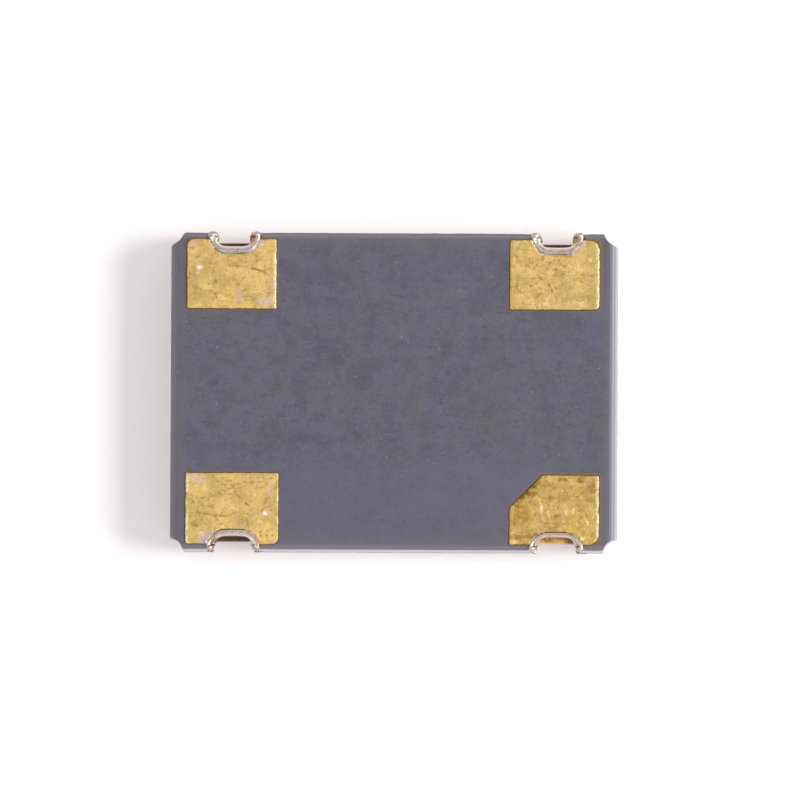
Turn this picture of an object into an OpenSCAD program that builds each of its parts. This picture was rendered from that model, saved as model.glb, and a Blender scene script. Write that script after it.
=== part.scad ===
// Clock oscillator in a four-terminal ceramic surface-mount package.
//
// The package lies on its lid: the lid's outer face is at z = 0 and the solder lands face +Z.
// +X runs along the long side, and terminal 1, the land with the cut corner, is at +X, -Y.
// The cavity opens towards the lid, so inside the package "up" for the chip is -Z.

/* [Ceramic body] */
// Length of the ceramic body, along X
body_l = 7.0; // [6.95:0.05:7.2]
// Width of the ceramic body, along Y
body_w = 5.0; // [4.95:0.05:5.2]
// Thickness of the base layer, which carries the solder lands
base_layer_t = 0.3; // [0.25:0.01:0.35]
// Thickness of the layer around the chip's pocket
chip_layer_t = 0.25; // [0.24:0.01:0.3]
// Thickness of the layer that carries the quartz
shelf_layer_t = 0.25; // [0.24:0.01:0.3]
// Thickness of the layer that forms the cavity wall
wall_layer_t = 0.265; // [0.24:0.005:0.32]
// Radius of the round notch at each corner
corner_notch_r = 0.2; // [0.12:0.01:0.24]
// How far the scored edge slopes in at the solder side
score_in = 0.07; // [0.02:0.01:0.07]
// How far down the side that slope runs
score_drop = 0.2; // [0.1:0.01:0.24]
// How far the snapped wall stands out below the scored edge
snap_out = 0.025; // [0.01:0.005:0.03]
// Height over which the snapped wall comes out to its full width
snap_drop = 0.35; // [0.05:0.01:0.36]
// How far the scored edge slopes in at the lid side
lid_score_in = 0.03; // [0.01:0.01:0.05]
// How far up the side that slope runs
lid_score_rise = 0.1; // [0.05:0.01:0.2]

/* [Solder lands] */
// Distance between the lands' centres, along X
land_pitch_x = 5.08; // [5:0.02:5.12]
// Distance between the lands' centres, along Y
land_pitch_y = 3.69; // [3.6:0.01:3.7]
// Length of a land, along X
land_l = 1.42; // [1.3:0.01:1.44]
// Width of a land, along Y
land_w = 1.11; // [1:0.01:1.12]
// Thickness of a land
land_t = 0.02; // [0.015:0.005:0.03]
// Radius of a land's corners
land_corner_r = 0.06; // [0.02:0.01:0.1]
// Size of the cut corner that marks terminal 1
land_cut = 0.52; // [0.3:0.01:0.6]

/* [Edge notches] */
// Distance between the axes of a notch's two round ends, along the edge
slot_l = 0.28; // [0.2:0.01:0.3]
// Depth of the notch in the two layers next to the lands
notch_r = 0.255; // [0.23:0.005:0.27]
// Length of the notch in the two layers next to the lid, along the edge
step_l = 0.65; // [0.5:0.01:0.66]
// Depth of the notch in the two layers next to the lid
step_d = 0.165; // [0.15:0.005:0.17]
// Radius of the corners there
step_corner_r = 0.08; // [0.04:0.01:0.1]
// Depth of the notch's flared mouth at the solder face
mouth_r = 0.32; // [0.3:0.01:0.33]
// Depth of the flared mouth
mouth_drop = 0.06; // [0.04:0.01:0.08]
// Thickness of the plating on the notch's wall
plating_t = 0.02; // [0.015:0.005:0.025]

/* [Cavity] */
// Length of the cavity beside the quartz
cavity_l = 5.5; // [5.4:0.05:5.5]
// Width of the cavity beside the quartz
cavity_w = 3.5; // [3.4:0.05:3.5]
// Where the quartz shelf ends, along X
shelf_edge_x = -1.9; // [-1.95:0.01:-1.85]
// Where the opening between the shelves ends, along X
well_end_x = 2.45; // [2.3:0.05:2.5]
// Width of the opening between the shelves
well_w = 2.9; // [2.8:0.05:3]
// Length of the chip's pocket
pocket_l = 1.7; // [1.65:0.05:1.75]
// Width of the chip's pocket
pocket_w = 1.5; // [1.45:0.05:1.55]
// Radius of the cavity's corners
cavity_corner_r = 0.2; // [0.1:0.05:0.25]

/* [Lid and seal ring] */
// Length of the lid
lid_l = 6.3; // [6.2:0.05:6.4]
// Width of the lid
lid_w = 4.3; // [4.2:0.05:4.4]
// Thickness of the lid
lid_t = 0.1; // [0.08:0.01:0.12]
// Length of the seal ring
ring_l = 6.4; // [6.4:0.02:6.44]
// Width of the seal ring
ring_w = 4.4; // [4.4:0.02:4.44]
// Width of the ring's rail
ring_rail = 0.38; // [0.34:0.01:0.4]
// Thickness of the seal ring
ring_t = 0.18; // [0.12:0.01:0.25]
// Radius of the ring's outer corners
ring_corner_r = 0.45; // [0.4:0.01:0.5]
// Thickness of the braze between the ring and the ceramic
braze_t = 0.02; // [0.015:0.005:0.025]

/* [Chip] */
// Length of the chip
chip_l = 1.1; // [1:0.05:1.15]
// Width of the chip
chip_w = 0.9; // [0.85:0.05:0.95]
// Thickness of the chip
chip_t = 0.15; // [0.12:0.01:0.16]
// Where the chip's centre lies, along X
chip_x = 0.35; // [0.3:0.01:0.4]
// Thickness of the silver epoxy under the chip
attach_t = 0.02; // [0.015:0.005:0.03]
// Side of a bond pad on the chip
bond_pad = 0.09; // [0.07:0.01:0.1]

/* [Quartz] */
// Length of the quartz blank
blank_l = 4.6; // [4.5:0.05:4.8]
// Width of the quartz blank
blank_w = 2.2; // [2.1:0.05:2.4]
// Thickness of the quartz blank
blank_t = 0.07; // [0.05:0.005:0.1]
// Where the blank's held end lies, along X
blank_end_x = -2.6; // [-2.65:0.01:-2.55]
// Length of the electrodes
electrode_l = 2.5; // [2:0.1:2.6]
// Width of the electrodes
electrode_w = 1.6; // [1.4:0.1:1.8]
// Width of the tabs that run from the electrodes to the held end
tab_w = 0.45; // [0.4:0.01:0.5]
// Distance from the centre line to each tab's middle
tab_y = 0.7; // [0.68:0.01:0.72]
// Radius of the adhesive dots
adhesive_r = 0.24; // [0.2:0.01:0.26]
// Thickness of the adhesive dots
adhesive_t = 0.03; // [0.02:0.005:0.04]

/* [Hidden] */
$fn = 64;

// Finishes, as flat colours
ceramic_colour = "#69676f";
plated_gold = "#d4b472";
bright_gold = "#e2b84a";
nickel_colour = "#b9b6ae";
ring_colour = "#a7a39b";
braze_colour = "#cfc6b4";
silver_epoxy = "#a8a6a2";
silicon_colour = "#4d5560";
aluminium_colour = "#d3d4d6";
quartz_colour = "#e4e9ea";
electrode_colour = "#dcd8c8";

// Thickness of the printed metal inside the package and under the ring
film_t = 0.015;
// Thickness given to the electrodes and to the chip's bond pads, which are thinner in truth
thin_t = 0.004;
// Overshoot of a cutter past the face it cuts
clear = 0.1;

// Heights, from the lid's outer face up to the lands
ring_z = lid_t;
braze_z = ring_z + ring_t;
seal_land_z = braze_z + braze_t;
ceramic_z = seal_land_z + film_t;
shelf_z = ceramic_z + wall_layer_t;
finger_z = shelf_z + shelf_layer_t;
pocket_z = finger_z + chip_layer_t;
face_z = pocket_z + base_layer_t;
top_z = face_z + land_t;

// Scored edge: the height where the slope ends, and its whole inset at the solder face
score_z = face_z - score_drop;
face_in = snap_out + score_in;

// Heights of the chip's stack, which hangs from the pocket's floor
die_land_z = pocket_z - film_t;
attach_z = die_land_z - attach_t;
chip_z = attach_z - chip_t;
bond_pad_z = chip_z - thin_t;

// Heights of the quartz, which hangs from its shelf
crystal_land_z = shelf_z - film_t;
adhesive_z = crystal_land_z - adhesive_t;
inner_film_z = adhesive_z - thin_t;
blank_z = inner_film_z - blank_t;
outer_film_z = blank_z - thin_t;

// Edge notches
notch_x = land_pitch_x / 2;
notch_y = body_w / 2;
lining_r = notch_r - plating_t;
step_lining_gap = 0.1; // bare wall left between the plating of terminal 1 and the seal

// Quartz
blank_mid_x = blank_end_x + blank_l / 2;
dot_x = blank_end_x + 0.3;
crystal_land_l = 0.6;
crystal_land_w = 0.56;
wrap_l = 0.62; // reach of the outer electrode back along the blank's shelf side

// Conductors on the finger shelf
lead_w = 0.2;
riser_r = 0.06;
lead_end_y = notch_y - lining_r;
lead_bend_y = 1.75;
finger_side_y = 0.87;
finger_end_x = chip_x + 0.97;
crystal_finger_x = chip_x - 0.95;
ground_riser_y = -2.0;
output_path = [
    [0.1, finger_side_y], [0.1, 1.15], [-notch_x, lead_bend_y], [-notch_x, lead_end_y]
];
supply_path = [
    [finger_end_x, 0.45], [finger_end_x + 0.28, 0.45], [notch_x, 1.6], [notch_x, lead_end_y]
];
crystal_path = [
    [crystal_finger_x, 0.3], [crystal_finger_x - 0.4, 0.3], [dot_x - riser_r, tab_y]
];
ground_path = mirrored(output_path);
enable_path = mirrored(supply_path);
crystal_path_b = mirrored(crystal_path);

// Bond pads on the chip and the feet of their wires: +Y side first, -Y side by mirroring
crystal_pad = [chip_x - 0.46, 0.25];
output_pad = [chip_x - 0.2, 0.36];
supply_pad = [chip_x + 0.46, 0.25];
crystal_foot = [crystal_finger_x - 0.14, 0.3];
output_foot = [0.1, finger_side_y + 0.12];
supply_foot = [finger_end_x + 0.12, 0.45];

// Bond wires
wire_r = 0.0125;
ball_r = 0.032;
ball_h = 0.022;
loop_bend_r = 0.05;
foot_bend_r = 0.08;
fall_angle = 15;
stitch_l = 0.05;
stitch_w = 0.032;
stitch_t = 0.006;
wire_sides = 8;

function mirrored(path) = [for (p = path) [p[0], -p[1]]];
function flipped(p) = [p[0], -p[1]];

// Outline of a strip of even width along a path with mitred bends
function along(path, i) = let (step = path[i + 1] - path[i]) step / norm(step);
function across(v) = [-v[1], v[0]];
function offset_at(path, i, half) =
    let (
        last = len(path) - 1,
        before = across(along(path, max(i - 1, 0))),
        after = across(along(path, min(i, last - 1))),
        middle = (before + after) / norm(before + after)
    )
    middle * half / (middle * after);
function strip_outline(path, width) = concat(
    [for (i = [0 : len(path) - 1]) path[i] + offset_at(path, i, width / 2)],
    [for (i = [len(path) - 1 : -1 : 0]) path[i] - offset_at(path, i, width / 2)]
);

// Stations of a bond wire: [distance, height, heading, half width, half height].
// It rises from its ball, bends over, falls straight and ends in a flat stitch.
function wire_stations(span, foot_h) =
    let (
        foot_s = span - stitch_l / 2,
        foot_c = foot_h + wire_r,
        fall_s = foot_s - foot_bend_r * sin(fall_angle),
        fall_h = foot_c + foot_bend_r * (1 - cos(fall_angle)),
        over_s = loop_bend_r * (1 + sin(fall_angle)),
        rise = fall_h + (fall_s - over_s) * tan(fall_angle) - loop_bend_r * cos(fall_angle)
    )
    concat(
        [
            [0, 0, 90, 0.8 * ball_r, 0.8 * ball_r],
            [0, 0.3 * ball_h, 90, ball_r, ball_r],
            [0, 0.7 * ball_h, 90, ball_r, ball_r],
            [0, ball_h, 90, 0.6 * ball_r, 0.6 * ball_r],
            [0, 1.3 * ball_h, 90, wire_r, wire_r]
        ],
        [
            for (i = [0 : 6])
                let (heading = 90 - i / 6 * (90 + fall_angle))
                [
                    loop_bend_r * (1 - sin(heading)), rise + loop_bend_r * cos(heading),
                    heading, wire_r, wire_r
                ]
        ],
        [
            for (i = [0 : 2])
                let (heading = -fall_angle * (1 - i / 2))
                [
                    foot_s + foot_bend_r * sin(heading), foot_c + foot_bend_r * (1 - cos(heading)),
                    heading, wire_r, wire_r
                ]
        ],
        [
            [foot_s + 0.4 * stitch_l, foot_h + stitch_t, 0, stitch_w, stitch_t],
            [foot_s + stitch_l, foot_h + stitch_t / 2, 0, stitch_w, stitch_t / 2]
        ]
    );

module rounded_outline(length, width, r) {
    square([length - 2 * r, width], center = true);
    square([length, width - 2 * r], center = true);
    for (x = [-1, 1], y = [-1, 1])
        translate([x * (length / 2 - r), y * (width / 2 - r)])
            circle(r);
}

module rounded_slab(length, width, r, height) {
    linear_extrude(height)
        rounded_outline(length, width, r);
}

// Outline of the body seen along one side: straight walls with a scored slope at each end
module side_outline(half, top) {
    polygon([
        [-half + lid_score_in, ceramic_z], [half - lid_score_in, ceramic_z],
        [half, ceramic_z + lid_score_rise], [half, score_z - snap_drop],
        [half - snap_out, score_z], [half - face_in, face_z],
        [half - face_in, top], [-half + face_in, top],
        [-half + face_in, face_z], [-half + snap_out, score_z],
        [-half, score_z - snap_drop], [-half, ceramic_z + lid_score_rise]
    ]);
}

module body_block(top) {
    intersection() {
        translate([0, body_w / 2 + clear, 0])
            rotate([90, 0, 0])
                linear_extrude(body_w + 2 * clear)
                    side_outline(body_l / 2, top);
        translate([-body_l / 2 - clear, 0, 0])
            rotate([90, 0, 90])
                linear_extrude(body_l + 2 * clear)
                    side_outline(body_w / 2, top);
    }
}

module at_corners() {
    for (x = [-1, 1], y = [-1, 1])
        translate([x * body_l / 2, y * body_w / 2, 0])
            children();
}

module at_notches() {
    for (x = [-1, 1], y = [-1, 1])
        translate([x * notch_x, y * notch_y, 0])
            children();
}

// Upright slot with round ends, of half width r
module slot(r, z, height) {
    translate([0, 0, z])
        linear_extrude(height) {
            square([slot_l, 2 * r], center = true);
            for (x = [-1, 1])
                translate([x * slot_l / 2, 0])
                    circle(r);
        }
}

// The narrower part of a notch, square with rounded corners; its wall stands in by lining
module step_slot(lining, z, height) {
    translate([0, 0, z])
        rounded_slab(
            step_l - 2 * lining, 2 * (step_d - lining), step_corner_r - lining, height
        );
}

// The round slot widening evenly with height
module flared_slot(low_r, high_r, z, height) {
    for (x = [-1, 1])
        translate([x * slot_l / 2, 0, z])
            cylinder(h = height, r1 = low_r, r2 = high_r);
    translate([-slot_l / 2, 0, z])
        rotate([90, 0, 90])
            linear_extrude(slot_l)
                polygon([[-low_r, 0], [low_r, 0], [high_r, height], [-high_r, height]]);
}

// Space of a notch in the ceramic: narrow next to the lid, wide next to the lands, flared mouth
module notch_space() {
    step_slot(0, ceramic_z - clear, finger_z - ceramic_z + 2 * clear);
    slot(notch_r, finger_z, face_z - finger_z + clear);
    flared_slot(notch_r, mouth_r, face_z - mouth_drop, mouth_drop);
    slot(mouth_r, face_z, clear);
}

// Open space left inside the plating, from its floor upwards
module plated_space(floor_z) {
    slot(lining_r, floor_z, top_z - floor_z + clear);
    flared_slot(lining_r, mouth_r, top_z - mouth_drop, mouth_drop);
    slot(mouth_r, top_z, clear);
}

module film(path) {
    translate([0, 0, finger_z - film_t])
        linear_extrude(film_t)
            polygon(strip_outline(path, lead_w));
}

module crystal_riser(side) {
    translate([dot_x, side * tab_y, shelf_z])
        cylinder(h = finger_z - film_t - shelf_z, r = riser_r);
}

module ground_riser() {
    translate([-notch_x, ground_riser_y, ceramic_z])
        cylinder(h = finger_z - film_t - ceramic_z, r = riser_r);
}

// Ceramic body, one fired piece: its cavity steps in from the lid side
module ceramic_base() {
    well_l = well_end_x - shelf_edge_x;
    color(ceramic_colour)
        difference() {
            body_block(face_z);
            at_corners()
                translate([0, 0, ceramic_z - clear])
                    cylinder(h = top_z - ceramic_z + 2 * clear, r = corner_notch_r);
            at_notches()
                notch_space();
            translate([0, 0, ceramic_z - clear])
                rounded_slab(cavity_l, cavity_w, cavity_corner_r, wall_layer_t + clear);
            translate([shelf_edge_x + well_l / 2, 0, shelf_z - clear])
                rounded_slab(well_l, well_w, cavity_corner_r, shelf_layer_t + clear);
            translate([chip_x, 0, finger_z - clear])
                rounded_slab(pocket_l, pocket_w, cavity_corner_r, chip_layer_t + clear);
            for (path = [output_path, supply_path, ground_path, enable_path])
                film(path);
            for (path = [crystal_path, crystal_path_b])
                film(path);
            crystal_riser(1);
            crystal_riser(-1);
            ground_riser();
        }
}

// Solder land at one corner with the plating of its notch.
// cut is the size of the corner taken off, on the side towards the body's middle.
// deep plating also covers the notch's ledge and the narrower wall below it.
module solder_pad(x_side, y_side, cut, deep) {
    color(plated_gold)
        translate([x_side * notch_x, y_side * notch_y, 0])
            difference() {
                union() {
                    difference() {
                        translate([0, y_side * (land_pitch_y / 2 - notch_y), face_z])
                            difference() {
                                rounded_slab(land_l, land_w, land_corner_r, land_t);
                                if (cut > 0)
                                    cut_corner(x_side, y_side, cut);
                            }
                        slot(mouth_r, face_z - clear, land_t + 2 * clear);
                    }
                    intersection() {
                        translate([-x_side * notch_x, -y_side * notch_y, 0])
                            body_block(top_z);
                        notch_plug(deep);
                    }
                }
                plated_space(deep ? finger_z + plating_t : finger_z - clear);
                if (deep)
                    step_slot(plating_t, ceramic_z, face_z - ceramic_z);
            }
}

module cut_corner(x_side, y_side, cut) {
    translate([-x_side * land_l / 2, -y_side * land_w / 2, -clear])
        rotate(45)
            cube([cut * sqrt(2), cut * sqrt(2), 4 * clear], center = true);
}

// Everything that a notch's plating and the air inside it take up
module notch_plug(deep) {
    slot(notch_r, finger_z, face_z - finger_z);
    flared_slot(notch_r, mouth_r, face_z - mouth_drop, mouth_drop);
    slot(mouth_r, face_z, land_t);
    if (deep)
        step_slot(0, ceramic_z + step_lining_gap, finger_z - ceramic_z - step_lining_gap);
}

module pad_enable() {
    solder_pad(1, -1, land_cut, true);
}

module pad_ground() {
    solder_pad(-1, -1, 0, false);
}

module pad_output() {
    solder_pad(-1, 1, 0, false);
}

module pad_supply() {
    solder_pad(1, 1, 0, false);
}

// A flat frame whose rail runs inwards from its outer outline
module flat_frame(length, width, r, rail, z, height) {
    translate([0, 0, z])
        linear_extrude(height)
            difference() {
                rounded_outline(length, width, r);
                rounded_outline(length - 2 * rail, width - 2 * rail, r - rail / 2);
            }
}

module seal_land() {
    rim = 0.05;
    color(nickel_colour)
        flat_frame(ring_l + 2 * rim, ring_w + 2 * rim, ring_corner_r, ring_rail + 2 * rim,
            seal_land_z, film_t);
}

module ring_braze() {
    fillet = 0.02;
    color(braze_colour)
        flat_frame(ring_l + 2 * fillet, ring_w + 2 * fillet, ring_corner_r, ring_rail + 2 * fillet,
            braze_z, braze_t);
}

module seal_ring() {
    color(ring_colour)
        flat_frame(ring_l, ring_w, ring_corner_r, ring_rail, ring_z, ring_t);
}

module lid() {
    color(nickel_colour)
        rounded_slab(lid_l, lid_w, ring_corner_r - (ring_l - lid_l) / 2, lid_t);
}

// Bond finger and buried conductor of an outer terminal
module outer_lead(path) {
    color(bright_gold)
        film(path);
}

module lead_enable() {
    outer_lead(enable_path);
}

module lead_ground() {
    outer_lead(ground_path);
    color(bright_gold)
        ground_riser();
}

module lead_output() {
    outer_lead(output_path);
}

module lead_supply() {
    outer_lead(supply_path);
}

// Bond finger, riser through the shelf and land under the quartz
module crystal_lead(side, path) {
    color(bright_gold) {
        film(path);
        crystal_riser(side);
        translate([dot_x, side * tab_y, crystal_land_z + film_t / 2])
            cube([crystal_land_l, crystal_land_w, film_t], center = true);
    }
}

module lead_crystal_a() {
    crystal_lead(1, crystal_path);
}

module lead_crystal_b() {
    crystal_lead(-1, crystal_path_b);
}

module die_land() {
    margin = 0.12;
    color(bright_gold)
        translate([chip_x, 0, die_land_z])
            rounded_slab(chip_l + 2 * margin, chip_w + 2 * margin, margin / 2, film_t);
}

module die_attach() {
    margin = 0.05;
    color(silver_epoxy)
        translate([chip_x, 0, attach_z])
            rounded_slab(chip_l + 2 * margin, chip_w + 2 * margin, 2 * margin, attach_t);
}

module ic_die() {
    color(silicon_colour)
        translate([chip_x, 0, chip_z + chip_t / 2])
            cube([chip_l, chip_w, chip_t], center = true);
}

module die_pads() {
    color(aluminium_colour)
        for (p = [crystal_pad, output_pad, supply_pad], side = [-1, 1])
            translate([p[0], side * p[1], bond_pad_z + thin_t / 2])
                cube([bond_pad, bond_pad, thin_t], center = true);
}

// Gold wire from a ball on the chip's pad to a flat stitch on a bond finger
module bond_wire(from, to) {
    heading = along([from, to], 0);
    side = across(heading);
    stations = wire_stations(norm(to - from), bond_pad_z - (finger_z - film_t));
    last = len(stations) - 1;
    points = [
        for (st = stations, k = [0 : wire_sides - 1])
            let (
                turn = (k + 0.5) * 360 / wire_sides,
                grow = 1 / cos(180 / wire_sides),
                out = st[3] * grow * cos(turn),
                lift = st[4] * grow * sin(turn),
                s = st[0] - lift * sin(st[2]),
                h = st[1] + lift * cos(st[2]),
                plan = from + heading * s + side * out
            )
            [plan[0], plan[1], bond_pad_z - h]
    ];
    walls = [
        for (i = [0 : last - 1], k = [0 : wire_sides - 1])
            let (
                a = i * wire_sides + k,
                b = i * wire_sides + (k + 1) % wire_sides
            )
            [a, a + wire_sides, b + wire_sides, b]
    ];
    first_cap = [for (k = [0 : wire_sides - 1]) k];
    last_cap = [for (k = [wire_sides - 1 : -1 : 0]) last * wire_sides + k];
    color(bright_gold)
        polyhedron(points = points, faces = concat([first_cap], walls, [last_cap]));
}

module wire_enable() {
    bond_wire(flipped(supply_pad), flipped(supply_foot));
}

module wire_ground() {
    bond_wire(flipped(output_pad), flipped(output_foot));
}

module wire_output() {
    bond_wire(output_pad, output_foot);
}

module wire_supply() {
    bond_wire(supply_pad, supply_foot);
}

module wire_crystal_a() {
    bond_wire(crystal_pad, crystal_foot);
}

module wire_crystal_b() {
    bond_wire(flipped(crystal_pad), flipped(crystal_foot));
}

module adhesive_dot(side) {
    color(silver_epoxy)
        translate([dot_x, side * tab_y, adhesive_z])
            cylinder(h = adhesive_t, r = adhesive_r);
}

module adhesive_a() {
    adhesive_dot(1);
}

module adhesive_b() {
    adhesive_dot(-1);
}

module quartz_blank() {
    color(quartz_colour)
        translate([blank_end_x, -blank_w / 2, blank_z])
            cube([blank_l, blank_w, blank_t]);
}

// Film electrode on one face of the blank, with its tab to the held end
module electrode_face(side, z) {
    translate([blank_mid_x - electrode_l / 2, -electrode_w / 2, z])
        cube([electrode_l, electrode_w, thin_t]);
    translate([blank_end_x, side * tab_y - tab_w / 2, z])
        cube([blank_l / 2, tab_w, thin_t]);
}

// The electrode on the lid side wraps round the held end to reach its adhesive dot
module electrode_outer() {
    color(electrode_colour) {
        electrode_face(1, outer_film_z);
        translate([blank_end_x - thin_t, tab_y - tab_w / 2, outer_film_z])
            cube([thin_t, tab_w, blank_t + 2 * thin_t]);
        translate([blank_end_x, tab_y - tab_w / 2, inner_film_z])
            cube([wrap_l, tab_w, thin_t]);
    }
}

module electrode_inner() {
    color(electrode_colour)
        electrode_face(-1, inner_film_z);
}

ceramic_base();
pad_enable();
pad_ground();
pad_output();
pad_supply();
seal_land();
ring_braze();
seal_ring();
lid();
lead_enable();
lead_ground();
lead_output();
lead_supply();
lead_crystal_a();
lead_crystal_b();
die_land();
die_attach();
ic_die();
die_pads();
wire_enable();
wire_ground();
wire_output();
wire_supply();
wire_crystal_a();
wire_crystal_b();
adhesive_a();
adhesive_b();
quartz_blank();
electrode_outer();
electrode_inner();
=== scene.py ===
import math
from dataclasses import dataclass
from functools import partial, partialmethod
from types import SimpleNamespace

import bmesh
import bpy
from bpy.props import FloatProperty, FloatVectorProperty, PointerProperty
from mathutils import Matrix, Vector, noise
from mathutils.geometry import delaunay_2d_cdt


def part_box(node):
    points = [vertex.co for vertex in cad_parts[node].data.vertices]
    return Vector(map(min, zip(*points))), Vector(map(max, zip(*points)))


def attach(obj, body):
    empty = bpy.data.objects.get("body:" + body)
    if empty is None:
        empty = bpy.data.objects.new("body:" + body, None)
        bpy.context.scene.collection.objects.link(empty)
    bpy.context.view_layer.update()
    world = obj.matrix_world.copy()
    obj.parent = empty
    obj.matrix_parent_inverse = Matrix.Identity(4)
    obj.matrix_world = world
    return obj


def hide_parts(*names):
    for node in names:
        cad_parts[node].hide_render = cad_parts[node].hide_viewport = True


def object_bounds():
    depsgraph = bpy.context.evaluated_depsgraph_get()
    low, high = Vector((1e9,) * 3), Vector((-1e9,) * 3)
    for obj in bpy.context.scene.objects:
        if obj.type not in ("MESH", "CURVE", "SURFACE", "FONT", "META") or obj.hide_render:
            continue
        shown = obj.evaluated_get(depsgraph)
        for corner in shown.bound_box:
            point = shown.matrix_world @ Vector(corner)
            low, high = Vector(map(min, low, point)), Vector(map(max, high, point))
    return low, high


bl_info = {
    "name": "Ceramic clock oscillator",
    "version": (1, 0, 0),
    "blender": (4, 5, 0),
    "location": "View3D > Sidebar > Oscillator",
    "description": "Builds a four-terminal ceramic surface-mount oscillator lying on its lid",
    "category": "Add Mesh",
}

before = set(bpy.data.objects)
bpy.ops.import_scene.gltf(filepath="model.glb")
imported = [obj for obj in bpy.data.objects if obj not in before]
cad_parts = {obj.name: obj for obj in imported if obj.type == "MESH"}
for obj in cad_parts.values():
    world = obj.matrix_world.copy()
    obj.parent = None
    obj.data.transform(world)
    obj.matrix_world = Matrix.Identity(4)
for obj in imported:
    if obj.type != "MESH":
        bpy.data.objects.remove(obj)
CAD_LOW, CAD_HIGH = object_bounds()
MM = 0.001  # the shells below are built in millimetres


def box_mm(node):
    """Lowest and highest corner of a CAD node, in millimetres."""
    low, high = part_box(node)
    return low / MM, high / MM


# Heights and outlines that the frame gives, in millimetres
CERAMIC_LOW, CERAMIC_HIGH = box_mm("ceramic_base")
HALF_L, HALF_W = CERAMIC_HIGH.x, CERAMIC_HIGH.y
CERAMIC_Z, FACE_Z = CERAMIC_LOW.z, CERAMIC_HIGH.z
LAND_LOW, LAND_HIGH = box_mm("pad_supply")
LEDGE_Z, TOP_Z = LAND_LOW.z, LAND_HIGH.z
NOTCH_X = (LAND_LOW.x + LAND_HIGH.x) / 2
LAND_L = LAND_HIGH.x - LAND_LOW.x
FILM_T = box_mm("lead_supply")[1].z - box_mm("lead_supply")[0].z
SHELF_Z = box_mm("lead_crystal_a")[0].z + FILM_T
POCKET_Z = box_mm("die_land")[1].z


# ---------------------------------------------------------------- sizes and colours


def linear(code):
    """Linear RGBA of an sRGB colour written as six hex digits."""
    parts = [int(code[i : i + 2], 16) / 255 for i in (0, 2, 4)]
    return (*[c / 12.92 if c <= 0.04045 else ((c + 0.055) / 1.055) ** 2.4 for c in parts], 1.0)


def millimetres(name, description, default):
    """A length that can be set, with its default given in millimetres."""
    return FloatProperty(
        name=name, description=description, default=default * MM, unit="LENGTH", precision=6
    )


def degrees(name, description, default):
    """An angle that can be set, with its default given in degrees."""
    turned = math.radians(default)
    return FloatProperty(name=name, description=description, default=turned, subtype="ANGLE")


def hex_colour(name, description, default):
    """A colour that can be set, with its default given as a hex code."""
    mixed = linear(default)[:3]
    return FloatVectorProperty(
        name=name, description=description, default=mixed, subtype="COLOR", min=0.0, max=1.0
    )


def in_mm(group):
    """The lengths of a group in millimetres, under the same names."""
    return SimpleNamespace(**{key: getattr(group, key) / MM for key in type(group).__annotations__})


class CeramicSizes(bpy.types.PropertyGroup):
    """Sizes of the fired ceramic body"""

    corner_notch_r: millimetres("Corner notch", "Radius of the notch at each corner", 0.2)
    shoulder: millimetres("Shoulder", "Length over which that notch's ends are rounded", 0.035)
    slot_l: millimetres("Notch length", "Distance between a notch's two end axes", 0.28)
    notch_r: millimetres("Notch depth", "Depth of a notch beside the lands", 0.255)
    step_l: millimetres("Step length", "Length of the notch next to the lid", 0.65)
    step_d: millimetres("Step depth", "Depth of the notch next to the lid", 0.165)
    step_corner: millimetres("Step corner", "Radius of the corners there", 0.08)
    mouth_r: millimetres("Mouth", "Depth of a notch's flared mouth", 0.32)
    mouth_drop: millimetres("Flare", "Height of the flare", 0.06)
    misfit_low: millimetres("Misfit at -X", "How far towards +X those notches are off", 0.04)
    misfit_high: millimetres("Misfit at +X", "How far towards +X those notches are off", 0.018)
    bow: millimetres("Bow", "How far a notch's ends bow out of its straight line", 0.022)
    score_in: millimetres("Score inset", "How far the scored edge curves in", 0.1)
    score_drop: millimetres("Score depth", "How far down the side the score runs", 0.2)
    snap_out: millimetres("Snapped step", "How far the snapped wall stands out", 0.025)
    snap_drop: millimetres("Snapped slope", "Height over which it comes out", 0.35)
    lid_score_in: millimetres("Lid side score inset", "How far the score curves in there", 0.03)
    lid_score_rise: millimetres("Lid side score height", "How far up the side it runs there", 0.1)
    groove: millimetres("Layer groove", "Depth of the faint groove where two layers meet", 0.007)
    coarse: millimetres("Coarse roughness", "Swing of the snapped wall's waves", 0.004)
    fine: millimetres("Fine roughness", "Swing of the grain on them", 0.003)
    mouth_l: millimetres("Cavity length", "Length of the cavity's mouth", 5.5)
    mouth_w: millimetres("Cavity width", "Width of the cavity's mouth", 3.5)
    shelf_edge: millimetres("Shelf edge", "Where the quartz's shelf ends, along X", -1.9)
    well_end: millimetres("Well end", "Where the well beyond it ends, along X", 2.45)
    well_w: millimetres("Well width", "Width of the well", 2.9)
    pocket_l: millimetres("Pocket length", "Length of the chip's pocket", 1.7)
    pocket_w: millimetres("Pocket width", "Width of the chip's pocket", 1.5)
    cavity_r: millimetres("Cavity corner", "Radius of the corners of all three", 0.2)


class LandSizes(bpy.types.PropertyGroup):
    """Sizes of the solder lands and of the plating in the notches"""

    width: millimetres("Width", "Width of a land along Y", 1.11)
    pitch_y: millimetres("Pitch", "Distance of the lands along Y", 3.69)
    cut: millimetres("Cut corner", "Cut that marks terminal 1", 0.52)
    edge: millimetres("Rounded edge", "Width over which the print's edge falls", 0.03)
    sunk: millimetres("Sunk", "How far the print is pressed into the ceramic", 0.008)
    waviness: millimetres("Waviness", "Unevenness of the print's outline", 0.006)
    plating: millimetres("Plating", "Thickness on a notch's wall", 0.02)
    rim_r: millimetres("Rim", "Outer reach of a notch's rim", 0.345)
    draw_run: millimetres("Draw", "Depth over which a rim's outside is drawn in", 0.15)
    burr: millimetres("Burr", "How far the torn ends of the plating curl in", 0.11)
    tail: millimetres("Burr end", "Length over which those ends round off", 0.03)
    proud: millimetres("Burr height", "How far those ends stand out of the edge", 0.02)


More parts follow.
